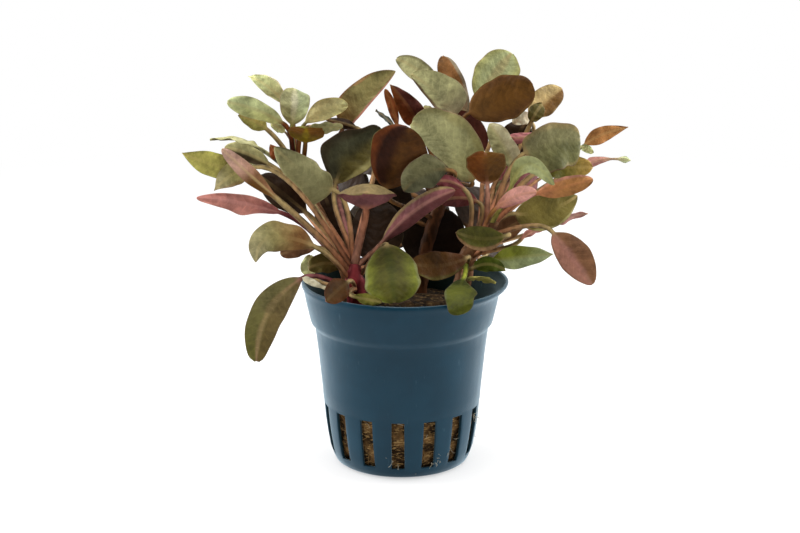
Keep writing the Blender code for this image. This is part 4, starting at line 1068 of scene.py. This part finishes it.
def leaf_look(name, leaf, seed):
    """Upper side, underside, second colours, midrib, side veins, net and stalk, each with its own colour."""
    look = Look(name, 0.45, LEAF_SPECULAR)
    near, far = (COLOURS[colour] for colour in STALKS.get(leaf.key, STEMS[leaf.stem].stalks))
    # The leaf's lightness, partly painted shade for where it lies in the plant.
    gain = LEAF_GAIN * leaf.light
    reads = {read_name: look.read(read_name) for read_name in READ_NAMES}
    reads["edge"] = look.math("ABSOLUTE", reads["rightward"])
    side = look.between(reads["upper_side"], 0.45, 0.55)
    facing = side if leaf.roll < 100 else look.math("SUBTRACT", 1.0, side)
    blotch = look.spots(BLOTCH_SIZE, offset=seed * 7.3)
    speck = look.spots(SPECK_SIZE, offset=seed * 3.9)
    body = look.mix(side, linear(COLOURS[leaf.under]), linear(COLOURS[leaf.upper]))
    body = tinted(look, leaf.key, body, reads, blotch, facing)
    saw = look.math("PINGPONG", look.sum(reads["vein_phase"], (VEIN_BEND, blotch)), 0.5)
    inside = look.between(reads["edge"], 0.95, 0.6)
    vein = look.times(look.between(saw, VEIN_LINE, 0.0), inside, look.between(reads["share"], 0.02, 0.12))
    pattern = look.sum(
        1.0 - 0.5 * (BLOTCH_STRENGTH + SPECK_STRENGTH),
        (BLOTCH_STRENGTH, look.between(blotch, 0.34, 0.66)),
        (SPECK_STRENGTH, look.between(speck, 0.32, 0.68)),
        (VEIN_STRENGTH, vein),
        (NET_STRENGTH, look.net(NET_SIZE, NET_LINE, seed)),
    )
    toned = look.scaled(body, look.times(pattern, gain))
    rib = look.times(look.between(reads["off_midrib"], RIB_HALF, 0.12), RIB_STRENGTH)
    rib_colour = look.mix(0.45, look.scaled(body, gain * 1.4), linear(far, gain * 1.2))
    rim = look.times(look.between(reads["edge"], 0.94, 0.99), RIM_STRENGTH)
    blade = look.mix(rim, look.mix(rib, toned, rib_colour), linear(COLOURS[leaf.under], 0.8 * gain))
    stalk = stalk_colour(look, reads, near, far, seed)
    look.wear({
        "Base Color": look.mix(look.between(reads["share"], 0.10, -0.04), blade, stalk),
        "Roughness": look.plus(look.times(speck, 0.25), 0.36),
    })
    height = look.plus(look.times(saw, inside, 0.5), look.times(speck, 0.8))
    look.bump(look.times(height, look.between(reads["share"], -0.05, 0.1)), 0.35, 0.6)
    return look.material


def stem_look(name):
    """Mottled along the stem, with a fine grain."""
    look = Look(name, 0.5, LEAF_SPECULAR)
    colour = COLOURS[STEMS[name].colour]
    tone = look.between(look.spots(2.2, 4.0, (1.0, 1.0, 0.35)), 0.35, 0.65)
    look.wear({"Base Color": look.mix(tone, linear(colour, 0.4), linear(colour, 1.3))})
    look.bump(look.spots(0.7, stretch=(1.0, 1.0, 0.3)), 0.3, 0.6)
    return look.material


def pot_look():
    """Satin teal plastic with faint clouds and scuffs, and light where it turns away; its inner skin is
    painted darker, as painted shade.
    """
    look = Look("teal_plastic", 0.38, 0.2)
    cloud = look.spots(14.0)
    grain = look.spots(0.35, 2.0)
    scuff = look.spots(1.6, 6.0, (1.0, 1.0, 0.25), 11.0)
    inside = look.read("upper_side")
    body = look.mix(look.between(cloud, 0.35, 0.65), linear(COLOURS["teal"]), linear(COLOURS["light_teal"]))
    # Painted shade: the inner skin takes a darker green for the shade inside the pot.
    body = look.mix(inside, body, linear(COLOURS["pot_inside"]))
    marks = look.times(look.between(scuff, 0.66, 0.78), 0.22)
    look.wear({
        "Base Color": look.mix(marks, body, linear(COLOURS["scuffed"])),
        "Roughness": look.sum(0.22, (0.30, scuff), (0.45, inside)),
        "Sheen Weight": 0.7,
        "Sheen Roughness": 0.35,
        "Sheen Tint": linear(COLOURS["pot_sheen"]),
    })
    look.bump(look.plus(grain, look.times(cloud, 2.0)), 0.08, 0.35)
    return look.material


def wool_look():
    """Matted fibre, damp and brown, with drier strands; its top is painted much darker than its sides, as
    painted shade under the leaves.
    """
    look = Look("rock_wool", 0.95, 0.1)
    clump = look.spots(3.5, 5.0)
    fibre = look.spots(0.5, 4.0, (0.35, 0.35, 1.6))
    wet, brown, dry = (linear(COLOURS[name]) for name in ("wet_wool", "brown_wool", "dry_wool"))
    body = look.mix(look.between(clump, 0.36, 0.62), wet, brown)
    body = look.mix(look.between(fibre, 0.52, 0.68), body, dry)
    # Painted shade: the wool's top is made a fifth as light as its sides, for the shade under the leaves.
    look.wear({"Base Color": look.scaled(body, look.sum(1.0, (-0.8, look.read("upper_side"))))})
    look.bump(look.plus(clump, look.times(fibre, 0.6)), 0.9, 0.9)
    return look.material


def fibre_look(name, colour):
    look = Look(name, 0.7, 0.2)
    look.wear({"Base Color": look.mix(look.spots(1.5, 2.0), linear(colour, 0.6), linear(colour, 1.2))})
    return look.material


def lipped(point):
    """The lip is a little wider than it is deep, and leans out to the right."""
    x, y, z = point
    share = smooth(z, POT_HEIGHT - LIP_HEIGHT, POT_HEIGHT)
    return np.array((x + (x * LIP_WIDENING + LIP_SHIFT) * share, y - y * LIP_NARROWING * share, z))


def column_turns(radius):
    """The angles of the columns of points round the wall, with the sides of every slot upright."""
    turns = []
    edge = math.asin(0.5 * SLOT_WIDTH / radius)
    period = 2 * math.pi / SLOT_COUNT
    for i in range(SLOT_COUNT):
        middle = math.radians(FRONT_SLOT_TURN - 90.0) + i * period
        turns += [middle - edge + 2 * edge * k / SLOT_COLUMNS for k in range(SLOT_COLUMNS)]
        turns += [middle + edge + (period - 2 * edge) * k / BAR_COLUMNS for k in range(BAR_COLUMNS)]
    return turns


def in_slot(row, column):
    """Whether a slot takes the place of the wall's face there."""
    low, high = WALL_PROFILE[row][1], WALL_PROFILE[row + 1][1]
    return column % (SLOT_COLUMNS + BAR_COLUMNS) < SLOT_COLUMNS and low >= SLOT_FOOT and high <= SLOT_TOP


def wall_faces(rows, columns):
    """The wall's outer and inner faces, and those that join them at the mouth and round the slots."""
    inner = rows * columns
    faces = []
    for row in range(rows - 1):
        for k in range(columns):
            if in_slot(row, k):
                continue
            j = (k + 1) % columns
            corner = (row * columns + k, row * columns + j, (row + 1) * columns + j, (row + 1) * columns + k)
            faces.append(corner)
            faces.append(tuple(inner + i for i in reversed(corner)))
            neighbours = ((row - 1, k), (row, j), (row + 1, k), (row, (k - 1) % columns))
            for i, (beside_row, beside) in enumerate(neighbours):
                if beside_row == rows - 1 or (beside_row >= 0 and in_slot(beside_row, beside)):
                    first, second = corner[i], corner[(i + 1) % 4]
                    faces.append((second, first, inner + first, inner + second))
    return faces


def make_pot():
    """The floor and the slotted wall: an outer and an inner skin, joined at the mouth and the slots."""
    columns = SLOT_COUNT * (SLOT_COLUMNS + BAR_COLUMNS)
    points = []
    for inward, lowest in ((0.0, 0.0), (WALL, FLOOR)):
        for radius, height in WALL_PROFILE:
            for turn in column_turns(radius):
                points.append(lipped(on_circle(turn, radius - inward, max(height, lowest))))
    inner = len(WALL_PROFILE) * columns
    faces = wall_faces(len(WALL_PROFILE), columns)
    for offset, height in ((0, 0.0), (inner, FLOOR)):
        centre = len(points)
        points.append(np.array((0.0, 0.0, height)))
        for k in range(columns):
            j = (k + 1) % columns
            first, second = (k, j) if offset else (j, k)
            faces.append((offset + first, offset + second, centre))
    reads = [NO_READS] * inner + [INSIDE_READS] * inner + [NO_READS, INSIDE_READS]
    pot = mesh_object("pot_wall", [(points, faces, reads, pot_look())])
    soft = pot.modifiers.new("soft edges", "BEVEL")
    soft.width = EDGE_ROUNDING * MM
    soft.segments = 2
    soft.limit_method = "ANGLE"
    soft.angle_limit = ROUNDED_FROM
    return pot


def inner_radius(height):
    """The radius of the wall's inner face at a height."""
    radii, heights = zip(*WALL_PROFILE)
    return float(np.interp(height, heights, radii)) - WALL


def wool_side(turn, height, radius):
    """A point of the wool's rough side, which stays a little inside the wall."""
    out = on_circle(turn, 1.0, 0.0)
    lump, fine = (
        ripple(out[0] * across, out[1] * across, height * up + 2.0)
        for across, up in (SIDE_LUMP_SIZE, SIDE_GRAIN_SIZE)
    )
    rough = radius - SIDE_INSET + SIDE_LUMPS * lump + SIDE_GRAIN * fine
    return out * rough + np.array((0.0, 0.0, height))


def wool_top(turn, share):
    """A point of the wool's lumpy top, at a share of the way from its edge to its middle."""
    x, y, _ = on_circle(turn, (WOOL_RADIUS - TOP_INSET) * (1.0 - share), 0.0)
    bump = TOP_LUMPS * ripple(x * TOP_LUMP_SIZE, y * TOP_LUMP_SIZE, 3.0) + TOP_GRAIN * ripple(x, y, 7.0)
    return np.array((x, y, WOOL_EDGE + (WOOL_CROWN - WOOL_EDGE) * math.sin(share * math.pi / 2) + bump))


def make_wool():
    """The plug of mineral wool."""
    turns = [2 * math.pi * k / WOOL_COLUMNS for k in range(WOOL_COLUMNS)]
    points = []
    for row in range(WOOL_ROWS + 1):
        height = WOOL_FOOT + (WOOL_EDGE - WOOL_FOOT) * row / WOOL_ROWS
        radius = min(inner_radius(height) - WOOL_GAP, WOOL_RADIUS)
        points += [wool_side(turn, height, radius) for turn in turns]
    for ring in range(1, WOOL_RINGS + 1):
        points += [wool_top(turn, ring / WOOL_RINGS) for turn in turns]
    faces = skin_faces(WOOL_ROWS + WOOL_RINGS + 1, WOOL_COLUMNS)
    reads = [NO_READS] * (WOOL_ROWS * WOOL_COLUMNS) + [INSIDE_READS] * ((WOOL_RINGS + 1) * WOOL_COLUMNS)
    return mesh_object("wool_plug", [(points, faces, reads, wool_look())])


def wandering(start, heading, length, steps, bend, dice):
    """A path that wanders as a root or a loose fibre does."""
    path = [start]
    heading = unit(np.array(heading))
    for _ in range(steps):
        stray = np.array([dice.uniform(-1.0, 1.0) for _ in range(3)])
        heading = unit(heading + stray * bend)
        path.append(path[-1] + heading * length / steps)
    return path


def kept_inside(path, beyond):
    """The path, drawn in where it would stand further out than that beyond the wall's inner face."""
    kept = []
    for x, y, z in path:
        z = max(z, FLOOR + ROOT_CLEARANCE)
        limit = inner_radius(min(max(z, SLOT_FOOT), SLOT_TOP)) + beyond
        inward = min(limit / math.hypot(x, y), 1.0)
        kept.append(np.array((x * inward, y * inward, z)))
    return kept


def fibre_piece(name, colour, paths, radius):
    points, faces = [], []
    for path in paths:
        radii = [radius * (1.0 - FIBRE_TAPER * i / len(path)) for i in range(len(path))]
        own_points, own_faces = tube(path, radii, FIBRE_SIDES)
        faces += [tuple(i + len(points) for i in face) for face in own_faces]
        points += own_points
    return mesh_object(name, [(points, faces, [NO_READS] * len(points), fibre_look(name, colour))])


def slot_fibres(count, beyond, dice):
    """Fibres that lie against the inside of the wall and show in its slots."""
    paths = []
    for _ in range(count):
        turn = dice.uniform(0.0, 2 * math.pi)
        height = dice.uniform(SLOT_FOOT, SLOT_TOP)
        start = on_circle(turn, inner_radius(height) - FIBRE_DEPTH, height)
        round_wall = dice.uniform(-1.0, 1.0)
        heading = (-math.sin(turn) * round_wall, math.cos(turn) * round_wall, dice.uniform(*FIBRE_RISE))
        path = wandering(start, heading, dice.uniform(*FIBRE_LENGTHS), FIBRE_STEPS, FIBRE_BEND, dice)
        paths.append(kept_inside(path, beyond))
    return paths


def front_roots(dice):
    """Fine pale roots that hang out of the slots at the front and at the right."""
    aside, up = ROOT_SPREAD
    paths = []
    for turn_degrees, height, count in ROOT_TUFTS:
        for _ in range(count):
            turn = math.radians(turn_degrees + dice.uniform(-aside, aside))
            start_height = height + dice.uniform(-up, up)
            start = on_circle(turn, inner_radius(start_height) + ROOT_START, start_height)
            heading = on_circle(turn, 1.0, dice.uniform(*ROOT_RISE))
            path = wandering(start, heading, dice.uniform(*ROOT_LENGTHS), ROOT_STEPS, ROOT_BEND, dice)
            paths.append([np.array((x, y, max(z, ROOT_CLEARANCE))) for x, y, z in path])
    return paths


def make_fibres():
    """Loose fibres of the wool and fine roots, seen in the slots and outside them."""
    dice = random.Random(FIBRE_SEED)
    pieces = []
    for name, colour, count, beyond, radius in FIBRES:
        paths = slot_fibres(count, beyond, dice)
        if name == "pale_roots":
            paths += front_roots(dice)
        pieces.append(fibre_piece(name, colour, paths, radius))
    return pieces


def make_leaf(leaf, seed):
    node = "leaf_" + leaf.key
    shape = leaf_shape(leaf, LARGE_RINGS, seed)
    made = mesh_object("blade_" + leaf.key, [(*shape, leaf_look(node, leaf, seed))])
    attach(made, "root")
    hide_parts(node)


def smooth_path(path, steps):
    """Points along a curve that passes through each given point."""
    given = [np.array(point) for point in path]
    ends = [2 * given[0] - given[1]] + given + [2 * given[-1] - given[-2]]
    found = []
    for i in range(1, len(ends) - 2):
        a, b, c, d = ends[i - 1 : i + 3]
        for k in range(steps):
            t = k / steps
            curved = 2 * b + (c - a) * t + (2 * a - 5 * b + 4 * c - d) * t**2 + (3 * b - a - 3 * c + d) * t**3
            found.append(0.5 * curved)
    found.append(given[-1])
    return found


def make_stem(name):
    """The stem, with a rounded top, and the small leaves that it carries."""
    stem = STEMS[name]
    path = smooth_path(stem.path, STEM_STEPS)
    radii = [float(np.interp(i / STEM_STEPS, range(len(stem.radii)), stem.radii)) for i in range(len(path))]
    path.append(path[-1] + unit(path[-1] - path[-2]) * radii[-1] * 0.6)
    radii.append(radii[-1] * 0.5)
    points, faces = tube(path, radii, STEM_SIDES, STEM_ROUGHNESS, len(name))
    groups = [(points, faces, [NO_READS] * len(points), stem_look(name))]
    first_seed, seed_step = SMALL_SEEDS
    for i, leaf in enumerate(leaves_from(SMALL_LEAF_ROWS, True)):
        if leaf.stem == name:
            seed = first_seed + seed_step * i
            groups.append((*leaf_shape(leaf, SMALL_RINGS, seed), leaf_look(leaf.key, leaf, seed)))
    made = mesh_object(name + "_growth", groups)
    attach(made, "root")
    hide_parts(name)


def make_floor():
    """A pale floor that turns into the white surround far from the plant."""
    mesh = bpy.data.meshes.new("floor")
    corner_points = [(FLOOR_REACH * x, FLOOR_REACH * y, 0.0) for x, y in ((-1, -1), (1, -1), (1, 1), (-1, 1))]
    mesh.from_pydata(corner_points, [], [(0, 1, 2, 3)])
    look = Look("floor", 0.9, 0.0)
    far = look.between(look.from_middle(), *FLOOR_FADE)
    look.wear({
        "Base Color": look.mix(far, (FLOOR_ALBEDO, FLOOR_ALBEDO, FLOOR_ALBEDO, 1.0), BLACK),
        "Emission Color": WHITE,
        "Emission Strength": look.sum(FLOOR_GLOW, (1.0 - FLOOR_GLOW, far)),
    })
    mesh.materials.append(look.material)
    add_object("floor", mesh)


def turned_to(spot, target):
    """The rotation of a light or camera at a spot that faces a target."""
    return (Vector(target) - Vector(spot)).to_track_quat("-Z", "Y").to_euler()


def make_lights():
    """Soft boxes to the sides and above, in a white surround that lights the plant most from behind."""
    for name, spot, size, power in LIGHTS:
        lamp = bpy.data.lights.new(name, "AREA")
        lamp.shape = "SQUARE"
        lamp.size = size
        lamp.energy = power
        made = add_object(name, lamp)
        made.location = spot
        made.rotation_euler = turned_to(spot, LIT_POINT)
    world = bpy.data.worlds.new("studio")
    bpy.context.scene.world = world
    world.use_nodes = True
    tree = world.node_tree
    behind = add_node(tree, "SeparateXYZ", {0: add_node(tree, "TexCoord", {}, "Generated")}, "Y")
    inputs = {"Value": behind, "From Min": -0.5, "From Max": 0.5, "To Min": FRONT_LIGHT, "To Max": BACK_LIGHT}
    light = add_node(tree, "MapRange", inputs)
    seen = add_node(tree, "LightPath", {}, "Is Camera Ray")
    strength = add_node(tree, "Mix", {"Factor": seen, "A": light, "B": 1.0})
    fill(tree, tree.nodes["Background"], {"Color": WHITE, "Strength": strength})


def make_camera():
    data = bpy.data.cameras.new("camera")
    data.lens = LENS
    data.sensor_width = SENSOR
    data.clip_start = 0.01
    camera = add_object("camera", data)
    camera.location = EYE * MM
    camera.rotation_euler = turned_to(EYE, AIM)
    bpy.context.scene.camera = camera
    bpy.context.scene.view_settings.view_transform = "Standard"


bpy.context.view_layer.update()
make_camera()
make_lights()
make_floor()

net_pot = make_pot()
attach(net_pot, "root")
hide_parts("pot")

wool = make_wool()
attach(wool, "root")
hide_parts("rockwool")

for fibres in make_fibres():
    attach(fibres, "root")

for name in STEMS:
    make_stem(name)
for i, leaf in enumerate(leaves_from(LEAF_ROWS, False)):
    make_leaf(leaf, LARGE_SEEDS[0] + LARGE_SEEDS[1] * i)
